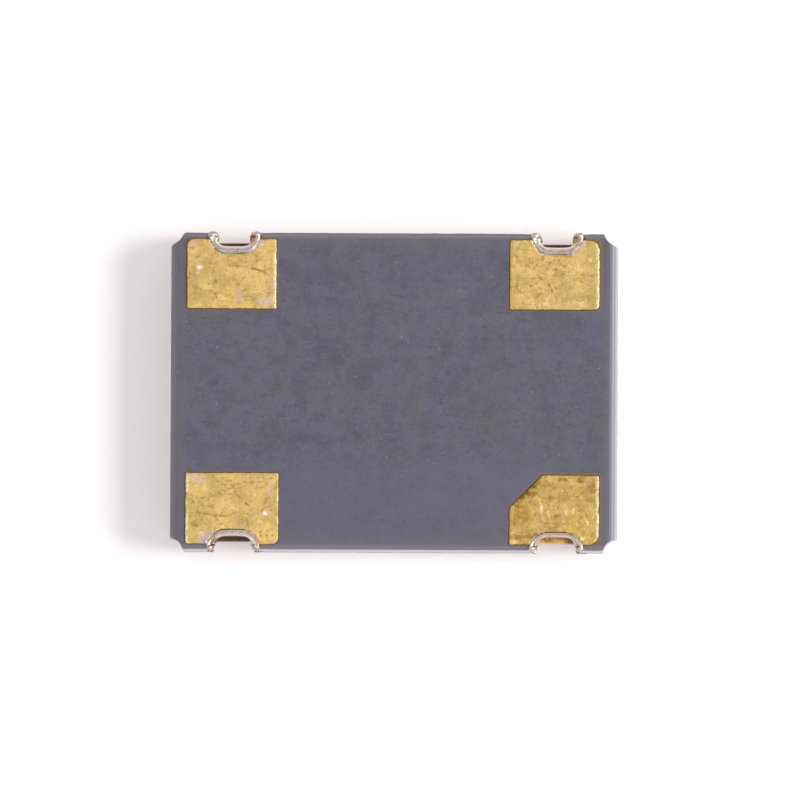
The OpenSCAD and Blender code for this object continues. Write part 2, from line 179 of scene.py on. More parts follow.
class Finishes(bpy.types.PropertyGroup):
    """Colours of the finishes that show most"""

    ceramic: hex_colour("Ceramic", "Fired ceramic", "3f3d4d")
    gold: hex_colour("Gold", "Plated gold", "c8a967")
    rim: hex_colour("Rim", "Thin gold over nickel", "b7aa9c")


class StageSettings(bpy.types.PropertyGroup):
    """Camera and light"""

    lean_right: degrees("Lean right", "Camera's lean towards +X", 0.9)
    lean_near: degrees("Lean near", "Camera's lean towards -Y", 2.3)
    roll: degrees("Roll", "Camera's roll", -0.3)
    distance: millimetres("Distance", "Camera's distance", 300.0)
    view_width: millimetres("Width", "Width of the view", 12.55)
    aim_right: millimetres("Aim right", "Aim's offset to the right", 0.094)
    aim_down: millimetres("Aim down", "Aim's offset downwards", 0.107)
    world: FloatProperty(name="World", description="Light of the surroundings", default=0.56)
    key: FloatProperty(name="Key", description="Power of the key light", default=0.18, unit="POWER")
    key_l: millimetres("Key length", "Longer side of the key light", 74.0)
    key_w: millimetres("Key width", "Shorter side of the key light", 60.0)
    key_x: millimetres("Key place", "How far the key light stands towards +X", 98.0)
    key_z: millimetres("Key height", "How high the key light stands over the object", 115.0)


# ---------------------------------------------------------------- mesh building


def soft_noise(x, y, z, size):
    """Smooth noise from -1 to 1, with features of the given size."""
    return noise.noise(Vector((x, y, z)) / size)


def smooth(start, end, value):
    """0 at start, 1 at end, with an even change between them."""
    share = min(1.0, max(0.0, (value - start) / (end - start)))
    return share * share * (3 - 2 * share)


def between(a, b, count):
    """count steps from a to b, both ends given."""
    return [a + (b - a) * i / count for i in range(count + 1)]


def arc(centre, r, start, end, count):
    """Points along an arc, both ends given, with angles in radians."""
    return [
        (centre[0] + r * math.cos(t), centre[1] + r * math.sin(t))
        for t in between(start, end, count)
    ]


def eased(start, corner, end, count):
    """Points of a curve that rounds off a corner between start and end, both ends given."""
    a, b, c = Vector(start), Vector(corner), Vector(end)
    return [tuple(a.lerp(b, t).lerp(b.lerp(c, t), t)) for t in between(0.0, 1.0, count)]


class Shell:
    """Points and faces of one piece, in millimetres."""

    def __init__(self):
        self.points = []
        self.faces = []
        self.slots = []

    def ring(self, outline, z=None):
        """Adds a loop of points and returns their numbers. z is for an outline of x, y pairs."""
        first = len(self.points)
        for p in outline:
            self.points.append((p[0], p[1], p[2] if z is None else z))
        return list(range(first, len(self.points)))

    def face(self, corners, slot=0):
        self.faces.append(corners)
        self.slots.append(slot)

    def skin(self, lower, upper, slot=0):
        """Faces between two closed loops of the same length."""
        count = len(lower)
        for i in range(count):
            j = (i + 1) % count
            self.face((lower[i], lower[j], upper[j], upper[i]), slot)

    def cap(self, loops, inner_points=(), height=None, slot=0):
        """Fills the flat region inside the first loop and outside the others, which are convex."""
        fixed = [n for loop in loops for n in loop]
        flat = [Vector(self.points[n][:2]) for n in fixed]
        edges = []
        start = 0
        for loop in loops:
            count = len(loop)
            edges += [(start + i, start + (i + 1) % count) for i in range(count)]
            start += count
        extra = [Vector(p) for p in inner_points]
        made = delaunay_2d_cdt(flat + extra, edges, [], 2, 1e-7)
        level = self.points[fixed[0]][2]
        numbers = []
        for place, source in zip(made[0], made[3]):
            known = [n for n in source if n < len(fixed)]
            if known:
                numbers.append(fixed[known[0]])
            else:
                z = height(place.x, place.y) if height else level
                self.points.append((place.x, place.y, z))
                numbers.append(len(self.points) - 1)
        for triangle in made[2]:
            corners = tuple(numbers[n] for n in triangle)
            if not any(set(corners) <= set(hole) for hole in loops[1:]):
                self.face(corners, slot)

    def mirrored(self, x_side, y_side):
        """The same shell in another quadrant."""
        turned = Shell()
        turned.points = [(x * x_side, y * y_side, z) for x, y, z in self.points]
        turned.faces = list(self.faces)
        turned.slots = list(self.slots)
        return turned

    def piece(self, name, finishes, sharp=35.0, move=None):
        """Makes the Blender object, in metres, with its faces turned outwards."""
        mesh = bpy.data.meshes.new(name)
        points = [move(*p) if move else p for p in self.points]
        mesh.from_pydata([Vector(p) * MM for p in points], [], self.faces)
        mesh.polygons.foreach_set("material_index", self.slots)
        return finished(name, mesh, finishes, sharp)


def finished(name, mesh, finishes, sharp):
    """Object from a closed mesh: outward faces, smooth shading up to an angle, and its finishes."""
    shape = bmesh.new()
    shape.from_mesh(mesh)
    bmesh.ops.remove_doubles(shape, verts=shape.verts, dist=1e-8)
    bmesh.ops.recalc_face_normals(shape, faces=shape.faces)
    shape.to_mesh(mesh)
    shape.free()
    for finish in finishes:
        mesh.materials.append(finish)
    mesh.polygons.foreach_set("use_smooth", [True] * len(mesh.polygons))
    mesh.set_sharp_from_angle(angle=math.radians(sharp))
    mesh.update()
    made = bpy.data.objects.new(name, mesh)
    bpy.context.scene.collection.objects.link(made)
    return made


def softened(node, name, finish, width=0.0, segments=3, smoothing=0.0):
    """New piece in the shape of a CAD node, with its edges rounded to the given width in mm,
    or, with smoothing, with every face cut once and bowed out by that share."""
    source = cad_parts[node]
    shape = bmesh.new()
    shape.from_mesh(source.data)
    shape.transform(source.matrix_world)
    bmesh.ops.remove_doubles(shape, verts=shape.verts, dist=1e-8)
    if width:
        bmesh.ops.dissolve_limit(
            shape, angle_limit=math.radians(1.0), verts=shape.verts, edges=shape.edges
        )
        edges = [e for e in shape.edges if e.calc_face_angle(0.0) > math.radians(30.0)]
        bmesh.ops.bevel(
            shape, geom=edges, offset=width * MM, offset_type="OFFSET", segments=segments,
            profile=0.5, affect="EDGES", clamp_overlap=True,
        )
    if smoothing:
        bmesh.ops.subdivide_edges(
            shape, edges=shape.edges, cuts=1, smooth=smoothing, use_grid_fill=True
        )
    mesh = bpy.data.meshes.new(name)
    shape.to_mesh(mesh)
    shape.free()
    return finished(name, mesh, [finish], sharp=40.0)


def settle(piece, node):
    """The piece stands for a CAD node, which it hides, and rides on the part."""
    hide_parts(node)
    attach(piece, "root")


def finish_node(node, finish):
    """Gives a carried-over CAD node its finish."""
    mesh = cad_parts[node].data
    mesh.materials.clear()
    mesh.materials.append(finish)


def grid(half_x, half_y, pitch, keep):
    """Points of a staggered grid for which keep(x, y) is true."""
    rows = int(half_y / pitch)
    columns = int(half_x / pitch)
    found = []
    for j in range(-rows, rows + 1):
        for i in range(-columns, columns + 1):
            x, y = (i + 0.5 * (j % 2)) * pitch, j * pitch
            if keep(x, y):
                found.append((x, y))
    return found


def rounded_loop(length, width, r, along=80, across=56, bend=8, middle=(0.0, 0.0)):
    """Counter-clockwise loop of a rectangle with round corners. The counts of steps along X,
    along Y and round a corner are given, so loops with the same counts can be skinned."""
    x, y = length / 2 - r, width / 2 - r
    corners = ((x, -y, -90), (x, y, 0), (-x, y, 90), (-x, -y, 180))
    steps = (across, along, across, along)
    loop = []
    for (cx, cy, turn), count in zip(corners, steps):
        bow = arc((cx, cy), r, math.radians(turn), math.radians(turn + 90), bend)
        angle = math.radians(turn + 90)
        run = Vector((-math.sin(angle), math.cos(angle)))
        span = width - 2 * r if count == across else length - 2 * r
        straight = [
            (bow[-1][0] + run.x * span * i / count, bow[-1][1] + run.y * span * i / count)
            for i in range(1, count)
        ]
        loop += bow + straight
    return [(px + middle[0], py + middle[1]) for px, py in loop]


# ---------------------------------------------------------------- materials


def shade(colour, factor):
    """A linear colour made lighter or darker."""
    return (*[c * factor for c in colour[:3]], 1.0)


def add_node(tree, kind, *values, named=None, **fields):
    """Adds a node, sets its fields, and links or sets its inputs: first the values in order,
    where inputs that the fields switch off don't count, and then those that are named."""
    made = tree.nodes.new("ShaderNode" + kind)
    for field, value in fields.items():
        setattr(made, field, value)
    pairs = list(zip([socket for socket in made.inputs if socket.enabled], values))
    pairs += [(made.inputs[name], value) for name, value in (named or {}).items()]
    for socket, value in pairs:
        value = getattr(value, "socket", value)
        if isinstance(value, bpy.types.NodeSocket):
            tree.links.new(value, socket)
        elif value is not None:
            socket.default_value = value
    return made


class Field:
    """A value or a colour that varies over the surface. A value is reckoned with as a number is."""

    def __init__(self, recipe, socket):
        self.recipe = recipe
        self.socket = socket

    def into(self, kind, *others, **fields):
        """Adds a node that has this field as its first input."""
        return self.recipe.add(kind, self, *others, **fields)

    def __rsub__(self, other):
        return self.recipe.add("Math", other, self, operation="SUBTRACT")

    __add__ = partialmethod(into, "Math", operation="ADD")
    __sub__ = partialmethod(into, "Math", operation="SUBTRACT")
    __mul__ = partialmethod(into, "Math", operation="MULTIPLY")
    __truediv__ = partialmethod(into, "Math", operation="DIVIDE")
    __pow__ = partialmethod(into, "Math", operation="POWER")
    __abs__ = partialmethod(into, "Math", operation="ABSOLUTE")
    larger = partialmethod(into, "Math", operation="MAXIMUM")


class Recipe:
    """A material being mixed: its tree, its shader and coordinates in millimetres."""

    def __init__(self, name, **shader_values):
        self.material = bpy.data.materials.new(name)
        self.material.use_nodes = True
        self.tree = self.material.node_tree
        self.shader = self.tree.nodes["Principled BSDF"]
        for key, value in shader_values.items():
            self.shader.inputs[key.replace("_", " ")].default_value = value
        coords = self.add("TexCoord", out="Object")
        self.mm = self.add("VectorMath", coords, 1 / MM, operation="SCALE")
        parts = add_node(self.tree, "SeparateXYZ", self.mm)
        self.x, self.y, self.z = [Field(self, socket) for socket in parts.outputs]
        # the same coordinates, stirred so that marks have ragged outlines
        frequency, swing = 14.0, 0.09
        stir = {"Vector": self.mm, "Scale": frequency, "Detail": 3.0}
        stirred = self.add("TexNoise", named=stir, out="Color")
        stirred = self.add("VectorMath", stirred, swing, operation="SCALE")
        stirred = self.add("VectorMath", self.mm, stirred)
        self.torn = self.add("VectorMath", stirred, (-swing / 2, -swing / 2, 0))

    def add(self, kind, *values, out=None, named=None, **fields):
        """Adds a node and gives the output of that name, or the first that is in use."""
        made = add_node(self.tree, kind, *values, named=named, **fields)
        used = [socket for socket in made.outputs if socket.enabled]
        return Field(self, made.outputs[out] if out else used[0])

    def pattern(self, kind, size, seed=0.0, squeeze=(1, 1, 1), turn=0.0, out=None, **named):
        """A texture with features of the given size in millimetres, turned by degrees about Z,
        squeezed along each axis and moved by a seed."""
        placed = self.add("VectorRotate", self.mm, None, None, math.radians(turn))
        moved = (seed, seed * 0.7, seed * 0.3)
        placed = self.add("Mapping", placed, moved, None, squeeze)
        return self.add(kind, out=out, named={"Vector": placed, "Scale": 1 / size, **named})

    def hairs(self, size, width, seed, squeeze, turn, share):
        """Thin curved marks, broken up so that about the given share of them is left."""
        field = self.pattern("TexNoise", size, seed, squeeze, turn, Detail=1.0, Distortion=0.4)
        line = self.add("MapRange", abs(field - 0.5), width, 0.0)
        gate = self.pattern("TexNoise", size * 0.7, seed + 31, Detail=1.0)
        cut = 0.66 - 0.25 * share
        return line * self.add("MapRange", gate, cut, cut + 0.08)

    def spot(self, x, y, reach_x, reach_y, turn=0.0):
        """1 inside an ellipse in plan, fading to 0 over its outer half, all in millimetres."""
        moved = self.add("VectorMath", self.torn, (-x, -y, 0))
        turned = self.add("VectorRotate", moved, None, None, math.radians(-turn))
        scale = (1 / reach_x, 1 / reach_y, 0)
        sized = self.add("VectorMath", turned, scale, operation="MULTIPLY")
        far = self.add("VectorMath", sized, operation="LENGTH")
        return self.add("MapRange", far, 1.0, 0.5)

    def band(self, value, low, high, soft):
        """1 where value lies between low and high, fading over soft."""
        rise = self.add("MapRange", value, low - soft, low + soft)
        return rise * self.add("MapRange", value, high + soft, high - soft)

    def lay(self, tone, colour, where, low=0.0, high=1.0, most=1.0):
        """The tone with a colour laid over it: none of it where the field is low, and most of it
        where that is high. A colour is linear, a field or a hex code."""
        share = self.add("MapRange", where, low, high, 0.0, most)
        both = [linear(c) if isinstance(c, str) else c for c in (tone, colour)]
        return self.add("Mix", share, *both, data_type="RGBA")

    def done(self, relief, depth, **fields):
        """The material, with fields for its shader and relief of the given depth in mm."""
        for key, field in fields.items():
            self.tree.links.new(field.socket, self.shader.inputs[key.replace("_", " ")])
        bump = self.add("Bump", named={"Height": relief, "Distance": depth * MM})
        self.tree.links.new(bump.socket, self.shader.inputs["Normal"])
        return self.material


def land_gap(made, lands):
    """Distance in plan from the nearest solder land, at most 0 under it."""
    corner = 0.11
    centres = ((made.x, NOTCH_X, LAND_L / 2), (made.y, lands.pitch_y / 2, lands.width / 2))
    offs = [abs(place) - middle for place, middle, _ in centres]
    over = [
        (abs(off) - (half - corner)).larger(0.0) ** 2.0 for off, (_, _, half) in zip(offs, centres)
    ]
    gap = (over[0] + over[1]) ** 0.5 - corner
    # terminal 1 has a corner cut off
    reach = (LAND_L + lands.width) / 2
    from_cut = (lands.cut - reach - offs[0] - offs[1]) * math.sqrt(0.5)
    quadrant = made.add("MapRange", made.x, 0.0, 0.1) * made.add("MapRange", made.y, 0.0, -0.1)
    return gap.larger(quadrant * from_cut)


def fired_alumina(colours, sizes, lands):
    """Dark co-fired alumina, matt from the furnace: even tone with a fine sintered grain.
    The snapped walls are glassier, so they mirror at a glancing angle, and the edges' colour
    also carries painted glancing reflection and painted light."""
    colour = (*colours.ceramic, 1.0)
    made = Recipe("fired_alumina", IOR=1.65)
    cloud = made.pattern("TexNoise", 1.3)
    tone = made.lay(shade(colour, 0.87), shade(colour, 1.12), cloud, 0.3, 0.7)
    mottle = made.pattern("TexNoise", 0.3, 17.0, Detail=4.0, Roughness=0.7)
    tone = made.lay(tone, shade(colour, 1.65), mottle, 0.44, 0.66, 0.6)
    tone = made.lay(tone, shade(colour, 0.5), mottle, 0.52, 0.32, 0.55)
    hue = made.pattern("TexNoise", 0.4, 41.0, Detail=3.0)
    tone = made.lay(tone, "504d4a", hue, 0.48, 0.66, 0.34)
    tone = made.lay(tone, "45415f", hue, 0.46, 0.3, 0.2)
    # the sintered grains are a few thousandths of a millimetre, and drawn ten times coarser to show
    grain = made.pattern("TexNoise", 0.045, 3.0, Detail=3.0, Roughness=0.6)
    tone = made.lay(tone, "75737f", grain, 0.45, 0.8, 0.22)
    dark = made.pattern("TexNoise", 0.08, 11.0, (0.6, 1.3, 1.0))
    tone = made.lay(tone, "2e2c33", dark, 0.6, 0.72, 0.6)
    speck = made.pattern("TexNoise", 0.05, 23.0, Detail=1.0)
    tone = made.lay(tone, "a5a3ab", speck, 0.73, 0.82, 0.35)
    # the face is painted paler towards -Y, and paler in a band close to the edges
    near_y, far_y = -0.8, -1.4
    tone = made.lay(tone, shade(colour, 1.6), made.y, near_y, far_y, 0.42)
    out = (abs(made.x) - HALF_L).larger(abs(made.y) - HALF_W)
    tone = made.lay(tone, "5b545a", out, -0.3, -0.1, 0.55)
    # painted shade close to the lands, browned as by reflected gold, and darkest near the -X side
    shade_reach = 0.042
    painted_brown_shade = made.lay("4c3a20", "6c5030", made.x, 0.4 - HALF_L, 0.5 - HALF_L)
    tone = made.lay(tone, painted_brown_shade, land_gap(made, lands), shade_reach, 0.0, 0.95)
    # the scored slope is painted paler, a painted glancing reflection, and most at +X, where the key
    # light stands
    face = tone
    fall = ((FACE_Z - made.z) / sizes.score_drop).larger(0.0) ** 0.5
    end = made.add("MapRange", made.x, HALF_L - 0.2, HALF_L - 0.15)
    tone = made.lay(tone, "7e7b86", fall, 0.05, 0.45, 0.78)
    tone = made.lay(tone, "74717b", fall, 0.35, 0.9)
    tone = made.lay(tone, "99979d", end * made.add("MapRange", fall, 0.26, 0.42))
    tone = made.lay(tone, "7e7b86", end * made.band(fall, 0.58, 0.7, 0.05), most=0.6)
    # the snapped wall below it is painted brighter, a painted glancing reflection of the white floor,
    # with a darker band just above the step's level. At -X and +Y the walls are painted dim: one as
    # dark as the face, and one a little paler
    foot = FACE_Z - sizes.score_drop
    snapped = made.add("MapRange", made.z, foot, foot - 0.004)
    left = made.add("MapRange", made.x, 0.12 - HALF_L, 0.1 - HALF_L)
    dim_sides = left.larger(made.add("MapRange", made.y, HALF_W - 0.12, HALF_W - 0.1))
    snapped = snapped * (1.0 - dim_sides)
    lower = made.add("MapRange", made.z, LEDGE_Z, LEDGE_Z - 0.01)
    painted_glare = made.lay("b8b6be", "9c9aa4", end)
    painted_glare = made.lay(painted_glare, "c4c2ca", lower, most=0.3)
    painted_glare = made.lay(painted_glare, "8a8892", made.band(made.z, LEDGE_Z, LEDGE_Z + 0.06, 0.01))
    tone = made.lay(tone, painted_glare, snapped, most=0.95)
    # the -X slope is painted paler still: painted glancing reflection
    tone = made.lay(tone, "77727a", left * made.add("MapRange", fall, 0.1, 0.4), most=0.85)
    steep = made.add("MapRange", fall, 0.5, 0.8)
    tone = made.lay(tone, made.lay(face, "6b686e", left), dim_sides * steep)
    # the painted brightness is a glancing reflection: seen square on, the walls are painted nearly as
    # dark as the face
    facing = made.add("LayerWeight", 0.5, out="Facing")
    tone = made.lay(tone, face, made.add("MapRange", facing, 0.75, 0.45) * steep, most=0.88)
    matt = made.add("MapRange", grain, 0.3, 0.7, 0.5, 0.62)
    matt = matt * (1.0 - snapped * 0.4) * (1.0 - lower * 0.28)
    sheen = made.add("MapRange", fall, 0.1, 0.6, 0.5, 0.2)
    gloss = sheen.larger(snapped * (0.9 - end * 0.5))
    return made.done(grain, 0.0015, Base_Color=tone, Roughness=matt, Specular_IOR_Level=gloss)


def stained_bore():
    """Punched wall of a notch under its plating: painted dark brown, as painted shade with reflected
    gold in the narrow notch.
    """
    made = Recipe("stained_bore", IOR=1.65, Roughness=0.5)
    painted_brown_shade = made.pattern("TexNoise", 0.08, 5.0, Detail=3.0)
    return made.done(painted_brown_shade, 0.003, Base_Color=made.lay("3a2420", "5c443c", painted_brown_shade, 0.35, 0.65))


def notch_reach(made, sizes, rims, land):
    """Distance from the middle line of a land's notch, depth into the body, and place along it."""
    middle = NOTCH_X + sizes.misfit_high if land.x_side > 0 else sizes.misfit_low - NOTCH_X
    off = made.x - middle
    depth = HALF_W - abs(made.y)
    drawn_in = made.add("MapRange", depth, rims.rim_r - rims.draw_run, rims.rim_r, land.draw, 0.0)
    over = (abs(off) + drawn_in - sizes.slot_l / 2).larger(0.0)
    return (over ** 2.0 + depth ** 2.0) ** 0.5, depth, off


def plated_gold(name, colours, sizes, lands):
    """Soft gold plated over nickel on a printed land: satin, blotched, scuffed and pitted. Where
    the print rolls into a notch it is rubbed to silver-grey, with a painted cream highlight on the lip."""
    land = LANDS[name]
    seed = land.seed
    colour = [c * part for c, part in zip(colours.gold, land.tone)]
    made = Recipe("plated_gold_" + name, Metallic=1.0)
    cloud = made.pattern("TexNoise", 0.3, seed, Detail=4.0, Roughness=0.6)
    tone = made.lay(shade(colour, 0.84), shade(colour, 1.1), cloud, 0.35, 0.68)
    # the print's paste leaves grains under the gold, drawn coarser than they are
    grains = made.pattern("TexVoronoi", 0.09, 7.0, (1, 1.3, 1), out="Color")
    tone = made.lay(tone, "e6ca92", made.add("SeparateColor", grains), most=0.22)
    tone = made.lay(tone, "b1984f", made.add("SeparateColor", grains, out="Green"), 0.7, 1.0, 0.3)
    pink = made.pattern("TexNoise", 0.22, seed + 14.0, Detail=3.0, Roughness=0.6)
    tone = made.lay(tone, "d0ae88", pink, 0.56, 0.72, 0.45)
    olive = made.pattern("TexNoise", 0.14, seed + 21.0, Detail=3.0, Roughness=0.6)
    tone = made.lay(tone, "ad9044", olive, 0.52, 0.7, 0.6)
    # pits in clusters, fine scuffs, and bright flecks that are painted glints
    pits = made.pattern("TexNoise", 0.05, seed + 5.0)
    crowd = made.add("MapRange", made.pattern("TexNoise", 0.26, seed + 27.0), 0.42, 0.6, 0.2, 1.0)
    pitted = made.add("MapRange", pits, 0.57, 0.67) * crowd
    tone = made.lay(tone, "8e6f36", pitted, most=land.pitted)
    scuffs = made.hairs(0.2, 0.04, seed + 9.0, (0.5, 1.3, 1.0), -8.0, 0.7)
    tone = made.lay(tone, "8a6c33", scuffs, most=0.52)
    glint_fleck = made.pattern("TexNoise", 0.04, seed + 17.0, Detail=1.0)
    tone = made.lay(tone, "f0d9a8", glint_fleck, 0.65, 0.75, 0.38)
    smear = made.pattern("TexNoise", 0.06, seed + 3.0, Detail=3.0)
    smear = made.add("MapRange", smear, 0.3, 0.58, 0.15, 1.0)
    for *place, code, strength in land.wear:
        tone = made.lay(tone, code, made.spot(*place) * smear, most=strength)
    # the edge that stands up to the light is painted bright, a painted highlight. The print's low edge
    # is painted red-brown: partly its uncovered foot, partly painted shade with the ceramic reflected in
    # it
    bright_w = 0.07
    far = land.x_side * NOTCH_X + land.moved[0]
    far += land.bright * ((LAND_L + land.grown[0]) / 2 - 0.02)
    bright = made.band(made.x, far - bright_w / 2, far + bright_w / 2, 0.012)
    broken = made.pattern("TexNoise", 0.05, 31.0, Detail=3.0)
    patchy = made.pattern("TexNoise", 0.3, seed + 33.0, Detail=1.0)
    bright = bright * made.add("MapRange", broken, 0.38, 0.55)
    bright = bright * made.add("MapRange", patchy, 0.33, 0.43, 0.25, 1.0)
    tone = made.lay(tone, "f2e6cf", bright, most=0.5)
    tone = made.lay(tone, "5e3c34", made.z, FACE_Z + 0.0175, FACE_Z + 0.0125, 0.9)
    # the rim: grey with lavender blotches, a painted cream highlight on the lip, and a trough round
    # the notch's ends, painted bright on one side and in shade on the other
    reach, depth, off = notch_reach(made, sizes, lands, land)
    grey = (*colours.rim, 1.0)
    blotch = made.pattern("TexNoise", 0.07, seed + 4.0, Detail=3.0)
    rolled = made.lay(shade(grey, 0.66), shade(grey, 1.2), blotch, 0.36, 0.64)
    tint = made.pattern("TexNoise", 0.16, seed + 19.0, Detail=1.0)
    rolled = made.lay(rolled, "b8a8b4", tint, 0.46, 0.6, 0.5)
    uneven = reach + made.add("MapRange", tint, 0.3, 0.7, -0.008, 0.008)
    # the lip's cream is a painted highlight where the rolled lip catches the light
    lip = made.add("MapRange", uneven, 0.278, 0.262) * made.add("MapRange", depth, 0.14, 0.2)
    rolled = made.lay(rolled, "dcc4ac", lip, most=land.lip)
    rolled = made.lay(rolled, "8c8a72", made.band(uneven, 0.288, 0.296, 0.005), most=0.55)
    # one side of the trough is painted near-white, a painted highlight, and the other in painted shade
    inner = made.lay(land.shade_side_tone, "e2dace", off * land.streak, -0.05, 0.05)
    inner = made.lay(inner, "86764c", made.band(reach, 0.222, 0.242, 0.006), most=0.7)
    trough = made.band(reach, 0.15, 0.278, 0.01) * made.band(depth, 0.05, 0.2, 0.015)
    rolled = made.lay(rolled, inner, trough, most=0.9)
    speck = made.pattern("TexNoise", 0.03, 8.0, Detail=1.0)
    rolled = made.lay(rolled, "efe8e0", speck, 0.6, 0.72, 0.4)
    shift = made.pattern("TexNoise", 0.12, seed + 2.0)
    shifted = reach + made.add("MapRange", shift, 0.3, 0.7, -0.02, 0.02)
    limit = lands.rim_r - land.less
    rim = made.add("MapRange", shifted, limit + 0.012, limit - 0.02)
    rim = rim.larger(made.add("MapRange", depth, 0.09, 0.08))
    # the rim is smoothest, and the print's low edges and the torn tips are dull
    satin = made.add("MapRange", cloud, 0.35, 0.7, 0.36, 0.5) - rim * 0.12
    dull = made.add("MapRange", made.z, TOP_Z - 0.0015, TOP_Z - 0.006) * (1.0 - rim)
    tips = made.add("MapRange", depth, 0.08, 0.05)
    rough = satin + dull * 0.3 + tips * 0.22
    tone = made.lay(tone, rolled, rim)
    return made.done(blotch * 1.5 - pits, 0.0025, Base_Color=tone, Roughness=rough)


def notch_gold():
    """Gold on the punched wall of a notch: deeper in tone and rougher than on the lands."""
    made = Recipe("notch_gold", Metallic=1.0)
    blotch = made.pattern("TexNoise", 0.08, 6.0, Detail=3.0)
    tone = made.lay("8e642c", "c29a5c", blotch, 0.35, 0.65)
    streak = made.pattern("TexNoise", 0.03, 12.0, (1.0, 1.0, 0.15))
    tone = made.lay(tone, "dcc494", streak, 0.6, 0.75, 0.5)
    depth = HALF_W - abs(made.y)
    # what runs down over the step is painted lighter towards the mouth, a painted highlight where the
    # light reaches in, and painted dark at one end, painted shade
    low = made.add("MapRange", made.z, LEDGE_Z + 0.04, LEDGE_Z + 0.022)
    uneven = depth + made.add("MapRange", blotch, 0.35, 0.65, 0.035, -0.035)
    tone = made.lay(tone, "efc688", low * made.add("MapRange", uneven, 0.23, 0.15), most=0.65)
    darker = made.add("MapRange", made.x, NOTCH_X + 0.1, NOTCH_X + 0.22)
    tone = made.lay(tone, "6e4a12", low * darker, most=0.8)
    tone = made.lay(tone, "a8a29a", depth, 0.13, 0.05, 0.9)
    rough = made.add("MapRange", blotch, 0.35, 0.65, 0.3, 0.5)
    return made.done(streak, 0.004, Base_Color=tone, Roughness=rough)


def plain_metal(name, light, dark, rough, size, seed, depth=0.002, squeeze=(1, 1, 1)):
    """A plated, printed or rolled metal with a little uneven tone."""
    made = Recipe(name, Metallic=1.0)
    cloud = made.pattern("TexNoise", size, seed, squeeze, Detail=4.0)
    tone = made.lay(dark, light, cloud, 0.3, 0.7)
    uneven = made.add("MapRange", cloud, 0.3, 0.7, rough * 0.8, rough * 1.25)
    return made.done(cloud, depth, Base_Color=tone, Roughness=uneven)


def silver_epoxy():
    """Silver-filled epoxy, cured: grey, flaky and half dull."""
    made = Recipe("silver_epoxy", Metallic=0.7)
    flakes = made.pattern("TexVoronoi", 0.02, 3.0, out="Color")
    grey = made.add("SeparateColor", flakes)
    rough = made.add("MapRange", grey, 0.0, 1.0, 0.35, 0.6)
    return made.done(grey, 0.002, Base_Color=made.lay("8f8c86", "c6c3bc", grey), Roughness=rough)


def polished_silicon():
    """Passivated silicon: dark and glossy, with blocks of circuit under the glass."""
    made = Recipe("passivated_silicon", Metallic=0.3, Roughness=0.18)
    blocks = made.pattern("TexVoronoi", 0.16, 2.0, (1, 1.6, 1), out="Color")
    tone = made.lay("3f4a55", "6b6f5e", made.add("SeparateColor", blocks))
    lines = made.pattern("TexVoronoi", 0.035, 5.0)
    tone = made.lay(tone, "8a8f86", lines, 0.2, 0.5, 0.4)
    return made.done(made.add("SeparateColor", blocks, out="Green"), 0.001, Base_Color=tone)


def lapped_quartz():
    """Lapped and etched quartz crystal: clear, with a faint frost."""
    made = Recipe("etched_quartz", IOR=1.54, Transmission_Weight=0.9)
    frost = made.pattern("TexNoise", 0.1, 4.0, Detail=3.0)
    rough = made.add("MapRange", frost, 0.3, 0.7, 0.08, 0.2)
    return made.done(frost, 0.001, Base_Color=made.lay("e9f0f1", "fbfdfd", frost), Roughness=rough)


# ---------------------------------------------------------------- ceramic body


def notch_point(sizes, r, spine, share, inset):
    """A point of a notch's wall at depth r, as x and y in the +X +Y quadrant. The spine is where
    it is along the straight part; past that part's end, share falls from 1 to 0 at the mouth,
    where the long edge stands in by inset. Down to the step's depth the notch is square."""
    half = sizes.slot_l / 2
    side = math.copysign(1.0, spine)
    if r > sizes.step_d:
        start = math.asin(inset / r)
        turn = start + (math.pi / 2 - start) * share
        x, depth = NOTCH_X + spine + side * r * math.cos(turn), r * math.sin(turn)
        off = min(1.0, abs(x - NOTCH_X) / sizes.mouth_r)
        return x, HALF_W - depth + sizes.bow * off**2 * smooth(0.0, 0.2, depth)
    less = sizes.step_d - r
    length, corner = sizes.step_l / 2 - less, sizes.step_corner - less
    side_share, top_share = 0.35, 0.8
    if share > top_share:
        across = (1 - share) / (1 - top_share) if abs(spine) == half else 0.0
        return NOTCH_X + spine + side * (length - corner - half) * across, HALF_W - r
    if share > side_share:
        turn = math.pi / 2 * (share - side_share) / (top_share - side_share)
        x, depth = length - corner * (1 - math.cos(turn)), r - corner * (1 - math.sin(turn))
    else:
        x, depth = length, inset + (r - corner - inset) * share / side_share
    return NOTCH_X + side * x, HALF_W - depth


def notch_stations(sizes, bend, straight):
    """Stations round a notch from its +X end to its -X end, as spine and share."""
    half = sizes.slot_l / 2
    stations = [(half, share) for share in between(0.0, 1.0, bend)]
    stations += [(x, 1.0) for x in between(half, -half, straight)][1:-1]
    return stations + [(-half, share) for share in between(1.0, 0.0, bend)]


def slot_path(sizes, r, inset):
    """Wall of a notch in the +X +Y quadrant at depth r, from its +X end to its -X end."""
    return [notch_point(sizes, r, *at, inset) for at in notch_stations(sizes, 18, 8)]


def punched(sizes, x, y, z):
    """A point of the body, moved as the notches were punched off their mark."""
    misfit = sizes.misfit_low if x < 0 else sizes.misfit_high
    return (x + misfit * smooth(0.6, 0.4, slot_distance(sizes, x, y)), y, z)


def slot_distance(sizes, x, y):
    """Distance from the middle line of the nearest notch."""
    over = max(0.0, abs(abs(x) - NOTCH_X) - sizes.slot_l / 2)
    return math.hypot(over, HALF_W - abs(y))


